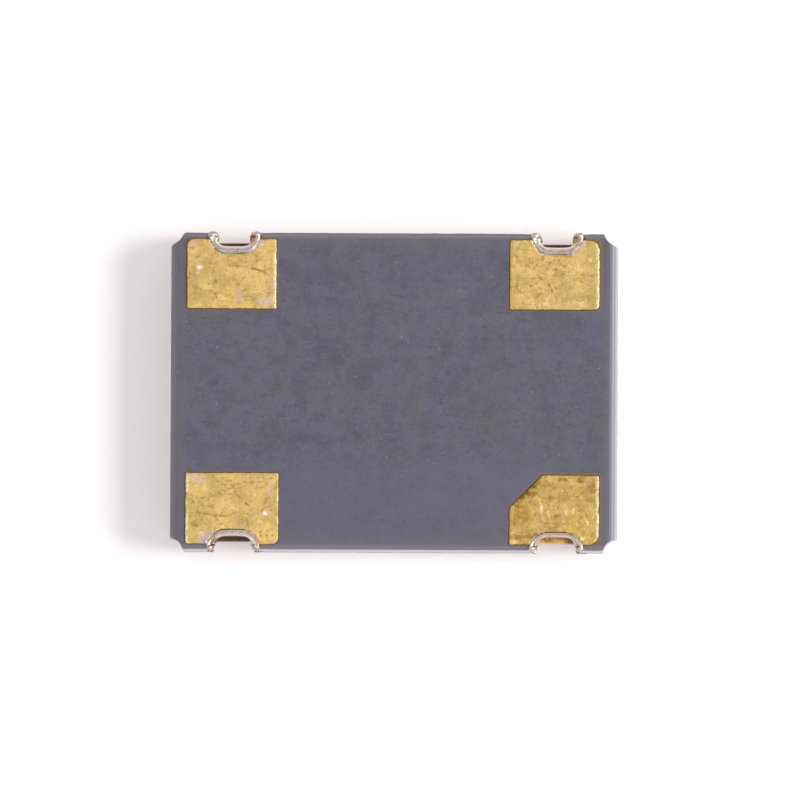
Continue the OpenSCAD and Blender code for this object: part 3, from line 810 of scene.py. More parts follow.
def quarter_outline(sizes, inset, notch_r):
    """Outline of the body in the +X +Y quadrant, from the short side's middle to the long one's."""
    x_side, y_side = HALF_L - inset, HALF_W - inset
    r = sizes.corner_notch_r
    reach = math.sqrt(r**2 - inset**2)
    start, end = math.atan2(-reach, -inset), math.atan2(-inset, -reach)
    bend = arc((HALF_L, HALF_W), r, start, end, 16)
    low, high = (x_side, bend[0][1] - sizes.shoulder), (bend[-1][0] - sizes.shoulder, y_side)
    points = [(x_side, y) for y in between(0.0, low[1], 44)]
    points += eased(low, bend[0], bend[3], 5)[1:] + bend[4:-4]
    points += eased(bend[-4], bend[-1], high, 5)
    notch = slot_path(sizes, notch_r, inset)
    points += [(x, y_side) for x in between(high[0], notch[0][0], 8)][1:-1]
    points += notch
    points += [(x, y_side) for x in between(notch[-1][0], 0.0, 40)][1:]
    return points


def body_outline(sizes, inset, notch_r):
    """The whole outline, counter-clockwise from the middle of the +X side."""
    first = quarter_outline(sizes, inset, notch_r)
    upper = first + [(-x, y) for x, y in reversed(first[:-1])]
    return upper + [(x, -y) for x, y in reversed(upper[1:-1])]


def score_curve(sizes, count):
    """The scored edge from the solder face down, as height and inset: flat at the face, upright
    at its foot."""
    foot = FACE_Z - sizes.score_drop
    return [
        (foot + sizes.score_drop * math.sin(t), sizes.snap_out + sizes.score_in * (1 - math.cos(t)))
        for t in between(math.pi / 2, 0.0, count)
    ]


def wall_levels(sizes):
    """Levels of the outer wall from the solder face down: height, inset, notch depth, roughness."""
    foot = FACE_Z - sizes.score_drop
    lid_score = CERAMIC_Z + sizes.lid_score_rise
    flare = sizes.mouth_r - sizes.notch_r
    above, lip, below = 0.012, 0.005, 0.008  # how far from a groove its slopes start and end
    levels = []
    for z, inset in score_curve(sizes, 12):
        open_by = max(0.0, 1 - (FACE_Z - z) / sizes.mouth_drop) * flare
        levels.append((z, inset, sizes.notch_r + open_by, 0.3))
    levels += [
        (foot - 0.004, sizes.snap_out + 0.002, sizes.notch_r, 0.5),
        (foot - 0.030, sizes.snap_out - 0.002, sizes.notch_r, 0.8),
    ]
    for low, r in ((LEDGE_Z, sizes.notch_r), (SHELF_Z, sizes.step_d), (lid_score, sizes.step_d)):
        top = levels[-1][0]
        steps = 7 if low == LEDGE_Z else 4
        levels += [(z, wall_inset(sizes, z), r, 1.0) for z in between(top, low + above, steps)[1:]]
        if low != lid_score:
            levels += [(low + lip, sizes.groove * 0.8, r, 1.0), (low, sizes.groove, r, 0.5)]
        if low == LEDGE_Z:
            levels.append((low, sizes.groove, sizes.step_d, 0.5))
        levels.append((low - below, 0.0, sizes.step_d, 1.0))
    start = lid_score - below
    for share in (0.3, 0.6, 0.85, 0.97):
        z = start - (start - CERAMIC_Z) * share
        levels.append((z, sizes.lid_score_in * share, sizes.step_d, 0.5))
    levels.append((CERAMIC_Z, sizes.lid_score_in + 0.012, sizes.step_d, 0.2))
    return levels


PROUD_END, SHY_SIDE = 0.006, 0.004  # the +X end broke off proud of its line, and the long sides shy


def roughened(sizes, outline, z, roughness):
    """The outline with the fired wall's unevenness. The plated notches stay true."""
    moved = []
    for x, y in outline:
        fade = smooth(sizes.mouth_r, sizes.mouth_r + 0.08, slot_distance(sizes, x, y))
        wave = soft_noise(x, y, z, 0.22) * sizes.coarse + soft_noise(x, y + 7.0, z, 0.05) * sizes.fine
        if abs(x) / HALF_L > abs(y) / HALF_W:
            push = roughness * fade * (wave + (PROUD_END if x > 0 else 0.0))
            moved.append((x + math.copysign(push, x), y, z))
        else:
            push = roughness * fade * (wave - SHY_SIDE)
            moved.append((x, y + math.copysign(push, y), z))
    return moved


def cavity_loops(sizes):
    """The stepped cavity, from the lid side in: outline, height of its mouth, height of its floor."""
    chip_low, chip_high = box_mm("ic_die")
    chip = ((chip_low.x + chip_high.x) / 2, 0.0)
    well_l = sizes.well_end - sizes.shelf_edge
    well = (sizes.shelf_edge + well_l / 2, 0.0)
    r = sizes.cavity_r
    return [
        (rounded_loop(sizes.mouth_l, sizes.mouth_w, r), CERAMIC_Z, SHELF_Z),
        (rounded_loop(well_l, sizes.well_w, r, middle=well), SHELF_Z, LEDGE_Z),
        (rounded_loop(sizes.pocket_l, sizes.pocket_w, r, middle=chip), LEDGE_Z, POCKET_Z),
    ]


def build_ceramic(sizes, finishes):
    """The fired body as one closed shell."""
    shell = Shell()
    rings = []
    for z, inset, notch_r, roughness in wall_levels(sizes):
        outline = body_outline(sizes, inset, notch_r)
        rings.append(shell.ring(roughened(sizes, outline, z, roughness)))
    for upper, lower in zip(rings, rings[1:]):
        for i in range(len(upper)):
            j = (i + 1) % len(upper)
            x, y, z = shell.points[lower[i]]
            # faces deep in a notch take the second finish, the bore's painted shade
            bore = slot_distance(sizes, x, y) < sizes.notch_r + 0.04 and z < LEDGE_Z + 0.01
            shell.face((lower[i], lower[j], upper[j], upper[i]), 1 if bore else 0)
    edge = sizes.snap_out + sizes.score_in

    def clear_of_notches(x, y):
        corner = math.hypot(abs(x) - HALF_L, abs(y) - HALF_W)
        off_slot = slot_distance(sizes, x, y) > sizes.mouth_r + 0.05
        return off_slot and corner > sizes.corner_notch_r + 0.05

    def face_height(x, y):
        return FACE_Z + soft_noise(x, y, 3.0, 1.1) * 0.002 + soft_noise(x, y, 9.0, 0.2) * 0.0006

    inner = grid(HALF_L - edge - 0.04, HALF_W - edge - 0.04, 0.07, clear_of_notches)
    shell.cap([rings[0]], inner, face_height)
    outer = rings[-1]
    for outline, mouth_z, floor_z in cavity_loops(sizes):
        mouth = shell.ring(outline, mouth_z)
        shell.cap([outer, mouth])
        outer = shell.ring(outline, floor_z)
        shell.skin(outer, mouth)
    shell.cap([outer])
    return shell.piece("ceramic_body", finishes, move=partial(punched, sizes))


# ---------------------------------------------------------------- solder lands


@dataclass
class Land:
    """How one terminal was printed and what has happened to it since, in millimetres"""

    x_side: int
    y_side: int
    radii: tuple  # at the body's corner, along the long edge, inside, along the short edge
    wear: list  # x, y, reach along X and Y, turn in degrees, colour, strength
    grown: tuple = (0.0, 0.0)  # how much longer and wider it printed
    moved: tuple = (0.0, 0.0)
    bright: int = 1  # the side whose edge stands up to the light
    tone: tuple = (0.955, 0.965, 0.958)  # how much darker than unmarked gold it is, by channel
    pitted: float = 0.8  # how dark its pits are
    cut: bool = False
    deep: bool = False  # its plating runs on down the narrow part of the notch
    less: float = 0.0  # how much less far its rim reaches
    lip: float = 0.85  # how strong the painted cream highlight on its lip is
    draw: float = 0.065  # how much nearer the notch's middle its rim's outside stands
    shade_side_tone: str = "9c7450"  # colour of its rim's inner slope on the side that is painted in shade
    streak: int = -1  # the side of its notch where the rim's inner slope is painted bright, a painted highlight
    curl: float = 1.0  # how far the torn ends of its plating curl
    seed: float = 0.0


PINKISH, WHITISH, BROWN, CREAM, OLIVE = "c4aaa4", "f6e8ea", "8c6528", "ecd9a6", "8c7034"
LANDS = {
    "pad_enable": Land(
        1, -1, (0.19, 0.03, 0.05, 0.03), cut=True, deep=True, curl=0.5, less=0.045, lip=0.1, draw=0.0,
        shade_side_tone="9a8c92", streak=0, seed=18.0,
        moved=(-0.015, -0.003), tone=(0.725, 0.695, 0.55),
        wear=[
            (2.1, -1.54, 0.36, 0.12, 43, "7a5218", 1), (2.02, -1.95, 0.16, 0.3, 0, BROWN, 0.55),
            (2.2, -1.4, 0.1, 0.07, 0, BROWN, 0.7), (3.12, -1.5, 0.1, 0.12, 0, BROWN, 0.5),
            (2.325, -1.84, 0.022, 0.24, 7, CREAM, 0.6), (2.44, -1.92, 0.02, 0.09, 8, CREAM, 0.6),
            (2.83, -1.87, 0.02, 0.07, -16, CREAM, 0.55), (1.89, -2.34, 0.09, 0.05, 0, "e0c4a4", 0.7),
            (2.47, -1.66, 0.05, 0.04, 0, OLIVE, 0.8), (2.56, -1.94, 0.07, 0.03, 20, OLIVE, 0.7),
            (2.39, -1.45, 0.12, 0.08, 0, "986f30", 0.8), (2.67, -1.37, 0.13, 0.045, 0, "7a6226", 0.8),
            (2.93, -1.37, 0.07, 0.06, 60, "7a5422", 0.9), (3.13, -1.46, 0.08, 0.12, 0, "a0783e", 0.6),
            (2.2, -1.6, 0.08, 0.05, 30, "7e6224", 0.9), (1.94, -1.79, 0.06, 0.05, 30, "7a5a20", 0.9),
            (2.0, -2.27, 0.26, 0.05, 4, "8c6a2c", 0.8), (2.22, -2.26, 0.09, 0.04, 35, "7a6030", 0.9),
            (1.9, -2.02, 0.05, 0.1, 0, "8c702c", 0.7), (2.98, -2.29, 0.06, 0.04, 20, "f0dca8", 0.8),
            (3.05, -2.05, 0.03, 0.05, -20, "f0dca8", 0.7), (2.72, -1.9, 0.03, 0.06, 0, "e8cf98", 0.5),
        ],
    ),
    "pad_ground": Land(
        -1, -1, (0.05, 0.12, 0.03, 0.03), grown=(0.055, 0.025), moved=(0.022, 0.001), bright=-1,
        curl=0.65, less=0.022, lip=0.6, draw=0.035, streak=1, seed=12.0,
        wear=[
            (-3.07, -1.375, 0.19, 0.09, 0, PINKISH, 0.8), (-1.99, -1.91, 0.07, 0.065, 0, "e0c4b4", 0.7),
            (-2.0, -1.917, 0.028, 0.031, 0, WHITISH, 0.85),
            (-1.92, -1.55, 0.04, 0.1, 0, PINKISH, 0.6), (-2.47, -1.48, 0.12, 0.05, 20, OLIVE, 0.6),
            (-2.28, -1.78, 0.06, 0.025, -35, OLIVE, 0.8), (-2.8, -1.95, 0.3, 0.022, -6, OLIVE, 0.7),
            (-3.1, -2.1, 0.07, 0.06, 0, BROWN, 0.6),
            (-2.9, -2.36, 0.16, 0.2, -25, "a1999e", 1),
        ],
    ),
    "pad_output": Land(
        -1, 1, (0.11, 0.05, 0.03, 0.03), moved=(0.001, -0.013), seed=22.0,
        wear=[
            (-2.014, 1.407, 0.19, 0.09, 0, PINKISH, 0.85), (-3.04, 1.93, 0.075, 0.065, 0, "e0c4b4", 0.7),
            (-3.047, 1.933, 0.025, 0.035, 0, WHITISH, 0.85),
            (-2.42, 1.478, 0.11, 0.13, 0, PINKISH, 0.5), (-1.904, 1.65, 0.04, 0.18, 0, PINKISH, 0.6),
            (-2.4, 1.95, 0.14, 0.022, 0, OLIVE, 0.7), (-2.12, 1.89, 0.2, 0.025, -18, OLIVE, 0.8),
            (-2.79, 1.71, 0.06, 0.025, -60, OLIVE, 0.8), (-3.16, 2.3, 0.1, 0.06, 30, PINKISH, 0.5),
            (-2.12, 2.34, 0.1, 0.13, 0, "aba2a8", 1),
        ],
    ),
    "pad_supply": Land(
        1, 1, (0.18, 0.03, 0.02, 0.09), moved=(-0.022, -0.01), shade_side_tone="b4906e", seed=28.0,
        tone=(0.855, 0.868, 0.852), pitted=0.95,
        wear=[
            (1.92, 2.33, 0.08, 0.07, 0, PINKISH, 0.4), (2.45, 1.85, 0.06, 0.1, 0, "dcb890", 0.4),
            (2.4, 1.43, 0.04, 0.11, 0, "e2c0a2", 0.5), (2.92, 1.39, 0.17, 0.06, -15, "dab898", 0.5),
            (3.08, 2.07, 0.06, 0.03, 0, "e8cdbb", 0.4), (3.1, 2.02, 0.04, 0.03, 0, OLIVE, 0.7),
            (1.95, 1.62, 0.05, 0.05, 0, OLIVE, 0.5), (2.15, 1.67, 0.05, 0.03, 0, OLIVE, 0.6),
            (2.92, 2.37, 0.09, 0.12, 0, "cbc0c8", 0.9), (2.79, 2.17, 0.06, 0.04, 0, "dcbfa0", 0.6),
        ],
    ),
}


def land_box(sizes, land):
    """Lowest and highest corner of a land in the +X +Y quadrant, as it printed."""
    x, y = NOTCH_X + land.moved[0] * land.x_side, sizes.pitch_y / 2 + land.moved[1] * land.y_side
    half_x, half_y = (LAND_L + land.grown[0]) / 2, (sizes.width + land.grown[1]) / 2
    return x - half_x, y - half_y, x + half_x, y + half_y


def land_outline(sizes, land, inset, step=0.012):
    """Counter-clockwise outline of the land in the +X +Y quadrant, moved in by inset."""
    low_x, low_y, high_x, high_y = land_box(sizes, land)
    low_x, low_y, high_x, high_y = low_x + inset, low_y + inset, high_x - inset, high_y - inset
    r = [max(0.01, full - inset) for full in land.radii]
    centres = [
        (high_x - r[0], high_y - r[0]), (low_x + r[1], high_y - r[1]),
        (low_x + r[2], low_y + r[2]), (high_x - r[3], low_y + r[3]),
    ]
    points = []
    for k, centre in enumerate(centres):
        if k == 2 and land.cut:
            size = sizes.cut - inset * (2 - math.sqrt(2))
            points += [(low_x, low_y + size), (low_x + size, low_y)]
        else:
            points += arc(centre, r[k], math.pi / 2 * k, math.pi / 2 * (k + 1), 6)
    loop = []
    for a, b in zip(points, points[1:] + points[:1]):
        count = max(1, round(math.dist(a, b) / step))
        run = (Vector(b) - Vector(a)).normalized()
        for i in range(count):
            p = Vector(a).lerp(Vector(b), i / count)
            wave = soft_noise(p.x + land.seed, p.y, 0.0, 0.09)
            wave += 0.5 * soft_noise(p.x, p.y + land.seed, 5.0, 0.035)
            loop.append((p.x + run.y * wave * sizes.waviness, p.y - run.x * wave * sizes.waviness))
    return loop


def drawn(sizes, land, depth):
    """How much nearer the notch's middle a rim's outside stands than the notch's own curve."""
    return land.draw * smooth(sizes.rim_r, sizes.rim_r - sizes.draw_run, depth)


def rim_reach(sizes, ceramic, land, point):
    """Distance of a point in the +X +Y quadrant from the notch's middle line, as the rim's
    outside goes."""
    off = point[0] - NOTCH_X
    out = math.copysign(drawn(sizes, land, HALF_W - point[1]), off)
    return slot_distance(ceramic, point[0] + out, point[1])


def bitten(outline, sizes, ceramic, land, r):
    """The outline with the part over the notch's rim replaced by the rim's own curve."""
    outside = [rim_reach(sizes, ceramic, land, p) > r for p in outline]
    count = len(outline)
    first = next(i for i in range(count) if outside[i] and not outside[i - 1])
    turned = outline[first:] + outline[:first]
    kept = [p for p in turned if rim_reach(sizes, ceramic, land, p) > r]
    inset = HALF_W - max(kept[0][1], kept[-1][1])
    curve = []
    for x, y in slot_path(ceramic, r, inset)[1:-1]:
        curve.append((x - math.copysign(drawn(sizes, land, HALF_W - y), x - NOTCH_X), y))
    return kept + curve


def land_shell(sizes, ceramic, land):
    """The printed land: sunk a little in the ceramic, with rounded edges and an uneven top."""
    bite_r = sizes.rim_r - land.less - 0.012
    shell = Shell()
    border = bitten(land_outline(sizes, land, 0.0), sizes, ceramic, land, bite_r)
    foot = shell.ring(border, FACE_Z - sizes.sunk)
    edge = shell.ring(border, FACE_Z + 0.001)
    shell.skin(foot, edge)
    thick = TOP_Z - FACE_Z
    seed = land.seed

    def top(x, y, depth):
        lumps = soft_noise(x + seed, y, 0.0, 0.16) * 0.0016 + soft_noise(x, y, seed, 0.05) * 0.0006
        share = min(1.0, depth / sizes.edge)
        return FACE_Z + 0.001 + (thick - 0.003 + lumps) * math.sqrt(1 - (1 - share) ** 2)

    inner, depths = [], {}
    for depth in (0.002, 0.006, 0.012, 0.02, sizes.edge):
        for p in land_outline(sizes, land, depth):
            if rim_reach(sizes, ceramic, land, p) > bite_r + 0.006:
                inner.append(p)
                depths[(round(p[0], 5), round(p[1], 5))] = depth
    margin = sizes.edge + 0.014
    low_x, low_y, high_x, high_y = land_box(sizes, land)
    corner = max(land.radii) * 0.8
    for x in between(low_x + margin, high_x - margin, 52):
        for y in between(low_y + margin, high_y - margin, 40):
            off_cut = (x - low_x) + (y - low_y) > sizes.cut + 1.5 * margin
            off_corner = min(abs(x - low_x), abs(x - high_x)) + abs(y - high_y) > corner + margin
            clear = rim_reach(sizes, ceramic, land, (x, y)) > bite_r + 0.01
            if clear and (off_cut or not land.cut) and off_corner:
                inner.append((x, y))

    def height(x, y):
        return top(x, y, depths.get((round(x, 5), round(y, 5)), 1.0))

    shell.cap([edge], inner, height)
    shell.cap([foot])
    return shell


WALL_FOOT = LEDGE_Z + 0.03  # the plating's upright wall ends here, just above the step


def rim_section(sizes, ceramic, land):
    """Section of a notch's plating, as reach, height and finish: from the toe on the land over
    the rolled lip and down the wall, then back up behind it."""
    wall = ceramic.notch_r - sizes.plating
    toe = sizes.rim_r - land.less
    # share of the way from the toe to the wall, and height over the land
    rolled = [
        (0.0, -0.006), (0.05, 0.0), (0.12, 0.003), (0.2, 0.003), (0.3, 0.0), (0.43, -0.007),
        (0.56, -0.015), (0.68, -0.025), (0.79, -0.035), (0.88, -0.046), (0.95, -0.06),
        (0.99, -0.08), (1.0, -0.105),
    ]
    section = [(toe + (wall - toe) * share, TOP_Z + z, 0) for share, z in rolled]
    section += [(wall, z, 1) for z in between(TOP_Z - 0.105, WALL_FOOT, 9)[1:]]
    if land.deep:
        low_r = ceramic.step_d - sizes.plating
        low_z = CERAMIC_Z + 0.1  # it stops short of the lid's side
        section += [
            (wall - 0.003, LEDGE_Z + 0.022, 1), (wall - 0.012, LEDGE_Z + 0.02, 1),
            (low_r + 0.012, LEDGE_Z + 0.019, 1), (low_r + 0.003, LEDGE_Z + 0.014, 1),
            (low_r, LEDGE_Z, 1),
        ]
        section += [(low_r, z, 1) for z in between(LEDGE_Z, low_z + 0.008, 5)[1:]]
        section += [(low_r + 0.006, low_z, 1), (ceramic.step_d, low_z, 1)]
        section += [(ceramic.step_d, LEDGE_Z, 1)]
    else:
        section += [(wall + 0.002, LEDGE_Z + 0.006, 1), (wall + 0.008, LEDGE_Z, 1)]
    back = ceramic.notch_r
    mouth = min(ceramic.mouth_r, toe - 0.012)
    under = ceramic.mouth_drop * (ceramic.mouth_r - mouth) / (ceramic.mouth_r - back)
    section += [
        (back, LEDGE_Z, 1), (back, FACE_Z - ceramic.mouth_drop, 1),
        (mouth, FACE_Z - under - 0.006, 0), (toe - 0.002, FACE_Z - 0.006, 0),
    ]
    return section


def wall_inset(sizes, z):
    """How far the body's side stands in at a height."""
    foot = FACE_Z - sizes.score_drop
    if z <= foot:
        return sizes.snap_out * max(0.0, 1 - (foot - z) / sizes.snap_drop)
    share = min(1.0, (z - foot) / sizes.score_drop)
    return sizes.snap_out + sizes.score_in * (1 - math.sqrt(1 - share**2))


def curl(depth, below):
    """Share of the burr at a depth into the body and a distance below the land: the torn ends
    lean into the notch, and die out further down."""
    return smooth(0.23, 0.08, depth) * (1 - smooth(0.22, 0.5, below))


def profile(points, share):
    """Height at a share of the width, from a list of pairs."""
    for (a, low), (b, high) in zip(points, points[1:]):
        if share <= b:
            return low + (high - low) * smooth(a, b, share)
    return points[-1][1]


# Height under the land's top across the rim: beside a torn end, and on the end itself
TROUGH = [
    (0.0, -0.006), (0.08, 0.002), (0.2, 0.0), (0.42, -0.011), (0.52, -0.03), (0.66, -0.058),
    (0.86, -0.072), (1.0, -0.1),
]
BEAD = [(0.0, -0.03), (0.12, -0.004), (0.3, 0.008), (0.55, 0.008), (0.8, -0.006), (1.0, -0.05)]


def rim_shell(sizes, ceramic, land):
    """The plating of a notch, bent round the notch, with its torn ends curled in and beaded."""
    seed = land.seed
    section = rim_section(sizes, ceramic, land)
    toe = sizes.rim_r - land.less
    wall = min(r for r, z, _ in section if z > LEDGE_Z + 0.025)
    half = ceramic.slot_l / 2
    front = next(i for i, p in enumerate(section) if i > 5 and p[1] <= WALL_FOOT)
    loops = []
    for spine, turned in notch_stations(ceramic, 30, 12):
        side = 1.0 if spine > 0 else -1.0
        at_end = abs(spine) == half
        loop = []
        for i, (r, z, _) in enumerate(section):
            inset = min(wall_inset(ceramic, min(z, FACE_Z)), ceramic.snap_out)
            x, y = notch_point(ceramic, r, spine, turned, inset + sizes.tail)
            depth = HALF_W - y
            share = min(1.0, max(0.0, (toe - r) / (toe - wall)))
            swell = 0.0
            lift = soft_noise(spine * 4 + depth * 3 + seed, r * 2, z, 0.06) * 0.002
            if i <= front and at_end:
                jitter = 1 + 0.15 * soft_noise(seed + spine * 9, depth, z, 0.16)
                swell = sizes.burr * land.curl * curl(depth, TOP_Z - z) * share * jitter
                if share < 1:
                    rolled = TOP_Z + profile(TROUGH, share)
                    rolled += (TOP_Z + profile(BEAD, share) - rolled) * smooth(0.1, 0.06, depth)
                    lift += (rolled - z) * smooth(0.24, 0.16, depth)
            inward = swell + drawn(sizes, land, depth) * (1 - share)
            loop.append((x - side * inward, y, z + lift))
        loops.append(loop)

    def tail(loop, angle):
        """The torn end, rounded off: narrower and lower the further it stands out."""
        middle = (loop[0][0] + loop[front // 2][0]) / 2
        narrow, out = math.cos(angle), math.sin(angle)
        moved = []
        for i, p in enumerate(loop):
            q = loop[len(loop) - 1 - i]
            fade = 1 - smooth(0.15, 0.4, TOP_Z - p[2])
            centre = (p[0] + q[0]) / 2 * (1 - fade) + middle * fade
            x = centre + (p[0] - centre) * narrow
            y = p[1] + out * (sizes.tail + sizes.proud * fade)
            moved.append((x, y, p[2] - 0.04 * fade * (1 - narrow)))
        return moved

    last = math.radians(80)
    angles = between(0.0, last, 6)[1:]
    whole = [tail(loops[0], angle) for angle in reversed(angles)]
    whole += loops
    whole += [tail(loops[-1], angle) for angle in angles]
    shell = Shell()
    rings = [shell.ring(loop) for loop in whole]
    count = len(section)
    for a, b in zip(rings, rings[1:]):
        for i in range(count):
            j = (i + 1) % count
            shell.face((a[i], a[j], b[j], b[i]), section[i][2])
    shell.face(tuple(rings[0][::-1]), 0)
    shell.face(tuple(rings[-1]), 0)
    return shell


def joined(first, second, sliver=0.001):
    """Union of two closed pieces, kept in the first, without edges shorter than a sliver in mm."""
    cutter = first.modifiers.new("join", "BOOLEAN")
    cutter.operation = "UNION"
    cutter.solver = "EXACT"
    cutter.object = second
    bpy.context.view_layer.update()
    graph = bpy.context.evaluated_depsgraph_get()
    mesh = bpy.data.meshes.new_from_object(first.evaluated_get(graph))
    shape = bmesh.new()
    shape.from_mesh(mesh)
    bmesh.ops.remove_doubles(shape, verts=shape.verts, dist=sliver * MM)
    bmesh.ops.dissolve_degenerate(shape, dist=sliver * MM, edges=shape.edges)
    bmesh.ops.triangulate(shape, faces=[face for face in shape.faces if len(face.verts) > 4])
    shape.to_mesh(mesh)
    shape.free()
    first.modifiers.clear()
    first.data = mesh
    bpy.data.objects.remove(second)
    return first


LEAST_FACES = 1000  # a land that comes out of the join with fewer is taken as a failed join


def build_land(name, sizes, ceramic, finishes):
    """One terminal: its land and its notch's plating, joined into one closed mesh."""
    land = LANDS[name]
    printed = land_shell(sizes, ceramic, land).mirrored(land.x_side, land.y_side)
    rim = rim_shell(sizes, ceramic, land).mirrored(land.x_side, land.y_side)
    move = partial(punched, ceramic)
    made = printed.piece(name + "_land", finishes, 50.0, move)
    return joined(made, rim.piece(name + "_rim", finishes, 50.0, move))


# ---------------------------------------------------------------- lid, ring, braze


FRAME_CORNER = 0.45  # outer radius of the ring, the braze and the printed film


def frame_piece(name, node, section, finish, rail, inner_r, ragged=0.0):
    """A flat frame the size of a CAD node. Its section is a loop of points: side, distance out
    of the rail and height as a share of the node's."""
    steps = (180, 130, 12)  # along X, along Y and round a corner
    low, high = box_mm(node)
    length, width = high.x - low.x, high.y - low.y
    shell = Shell()
    rings = []
    for side, out, share in section:
        z = low.z + (high.z - low.z) * share
        if side == "outer":
            loop = rounded_loop(length + 2 * out, width + 2 * out, FRAME_CORNER + out, *steps)
        else:
            gap = 2 * (rail + out)
            loop = rounded_loop(length - gap, width - gap, inner_r - out, *steps)
        if ragged:
            wave = [1 + ragged * soft_noise(x, y, out * 50, 0.15) / HALF_W for x, y in loop]
            loop = [(x * w, y * w) for (x, y), w in zip(loop, wave)]
        rings.append(shell.ring(loop, z))
    for a, b in zip(rings, rings[1:] + rings[:1]):
        shell.skin(a, b)
    return shell.piece(name, [finish], sharp=40.0)


def build_lid(finish):
    """The lid: a thin sheet with the rippled track that the seam rollers leave on its rim."""
    low, high = box_mm("lid")
    length, width = high.x - low.x, high.y - low.y
    corner, swing = 0.4, 0.004
    ripples = 190  # marks of the seam rollers round the rim
    steps = (420, 300, 40)  # along X, along Y and round a corner
    # inset, height above the outer face, strength of the ripple
    track = [
        (0.0, 0.055, 0.2), (0.0, 0.042, 0.6), (0.006, 0.026, 0.9), (0.018, 0.015, 1.0),
        (0.04, 0.009, 1.0), (0.075, 0.007, 0.9), (0.1, 0.008, 0.6), (0.118, 0.003, 0.2),
        (0.14, 0.0, 0.0),
    ]
    shell = Shell()
    rings = []
    for inset, z, ripple in track:
        loop = rounded_loop(length - 2 * inset, width - 2 * inset, corner - inset, *steps)
        count = len(loop)
        points = []
        for i, (x, y) in enumerate(loop):
            wave = math.sin(i / count * 2 * math.pi * ripples) * 0.45
            wave += soft_noise(x, y, 1.0, 0.2) * 0.5
            points.append((x, y, z + swing * (1 + wave) * ripple))
        rings.append(shell.ring(points))
    upper = rounded_loop(length, width, corner, *steps)
    rings.insert(0, shell.ring(upper, high.z))
    for a, b in zip(rings, rings[1:]):
        shell.skin(b, a)
    shell.cap([rings[0]])
    shell.cap([rings[-1]])
    return shell.piece("seam_welded_lid", [finish], sharp=50.0)


# ---------------------------------------------------------------- operators


class OSC_OT_ceramic_base(bpy.types.Operator):
    """Builds the fired ceramic body"""

    bl_idname = "oscillator.ceramic_base"
    bl_label = "Ceramic body"

    def execute(self, context):
        scene = context.scene
        sizes = in_mm(scene.osc_ceramic)
        alumina = fired_alumina(scene.osc_finishes, sizes, in_mm(scene.osc_lands))
        made = build_ceramic(sizes, [alumina, stained_bore()])
        settle(made, "ceramic_base")
        return {"FINISHED"}


class OSC_OT_lands(bpy.types.Operator):
    """Builds the four solder lands with the plating of their notches"""

    bl_idname = "oscillator.lands"
    bl_label = "Solder lands"

    def execute(self, context):
        scene = context.scene
        sizes, ceramic = in_mm(scene.osc_lands), in_mm(scene.osc_ceramic)
        bore = notch_gold()
        for name in LANDS:
            gold = plated_gold(name, scene.osc_finishes, ceramic, sizes)
            made = build_land(name, sizes, ceramic, [gold, bore])
            if len(made.data.polygons) < LEAST_FACES:
                raise RuntimeError(name + " could not be joined to its rim")
            settle(made, name)
        return {"FINISHED"}


class OSC_OT_lid(bpy.types.Operator):
    """Builds the lid, the seal ring, the braze and the fired metal under it"""

    bl_idname = "oscillator.lid"
    bl_label = "Lid and seal"

    def execute(self, context):
        nickel = plain_metal("nickel_plated_lid", "c9c6bd", "b2aea4", 0.3, 0.25, 1.0)
        alloy = plain_metal(
            "rolled_seal_alloy", "b8b4aa", "98938a", 0.38, 0.08, 2.0, squeeze=(1, 1, 5)
        )
        braze = plain_metal("silver_braze", "dcd2be", "b9ab90", 0.3, 0.06, 3.0, depth=0.004)
        film = plain_metal("nickel_on_print", "c4beb0", "a0998a", 0.45, 0.05, 4.0, depth=0.003)
        settle(build_lid(nickel), "lid")
        soft = 0.03
        ring_section = [
            ("outer", -soft, 0.0), ("outer", -soft * 0.3, 0.06), ("outer", 0.0, 0.18),
            ("outer", 0.0, 0.5), ("outer", 0.0, 0.82), ("outer", -soft * 0.3, 0.94),
            ("outer", -soft, 1.0), ("inner", -soft, 1.0), ("inner", -soft * 0.3, 0.94),
            ("inner", 0.0, 0.82), ("inner", 0.0, 0.18), ("inner", -soft * 0.3, 0.06),
            ("inner", -soft, 0.0),
        ]
        ring = frame_piece(
            "stamped_ring", "seal_ring", ring_section, alloy, rail=0.38, inner_r=0.26
        )
        settle(ring, "seal_ring")
        fillet_section = [
            ("outer", 0.0, 0.0), ("outer", -0.009, 0.25), ("outer", -0.015, 0.6),
            ("outer", -0.019, 1.0), ("inner", -0.019, 1.0), ("inner", -0.015, 0.6),
            ("inner", -0.009, 0.25), ("inner", 0.0, 0.0),
        ]
        low_first = [(side, out, 1 - share) for side, out, share in fillet_section]
        fillet = frame_piece(
            "braze_fillet", "ring_braze", low_first, braze, rail=0.42, inner_r=0.24, ragged=0.004
        )
        settle(fillet, "ring_braze")
        film_section = [
            ("outer", 0.0, 1.0), ("outer", -0.003, 0.4), ("outer", -0.012, 0.0),
            ("inner", -0.012, 0.0), ("inner", -0.003, 0.4), ("inner", 0.0, 1.0),
        ]
        printed = frame_piece(
            "printed_seal_land", "seal_land", film_section, film,
            rail=0.48, inner_r=0.21, ragged=0.006,
        )
        settle(printed, "seal_land")
        return {"FINISHED"}


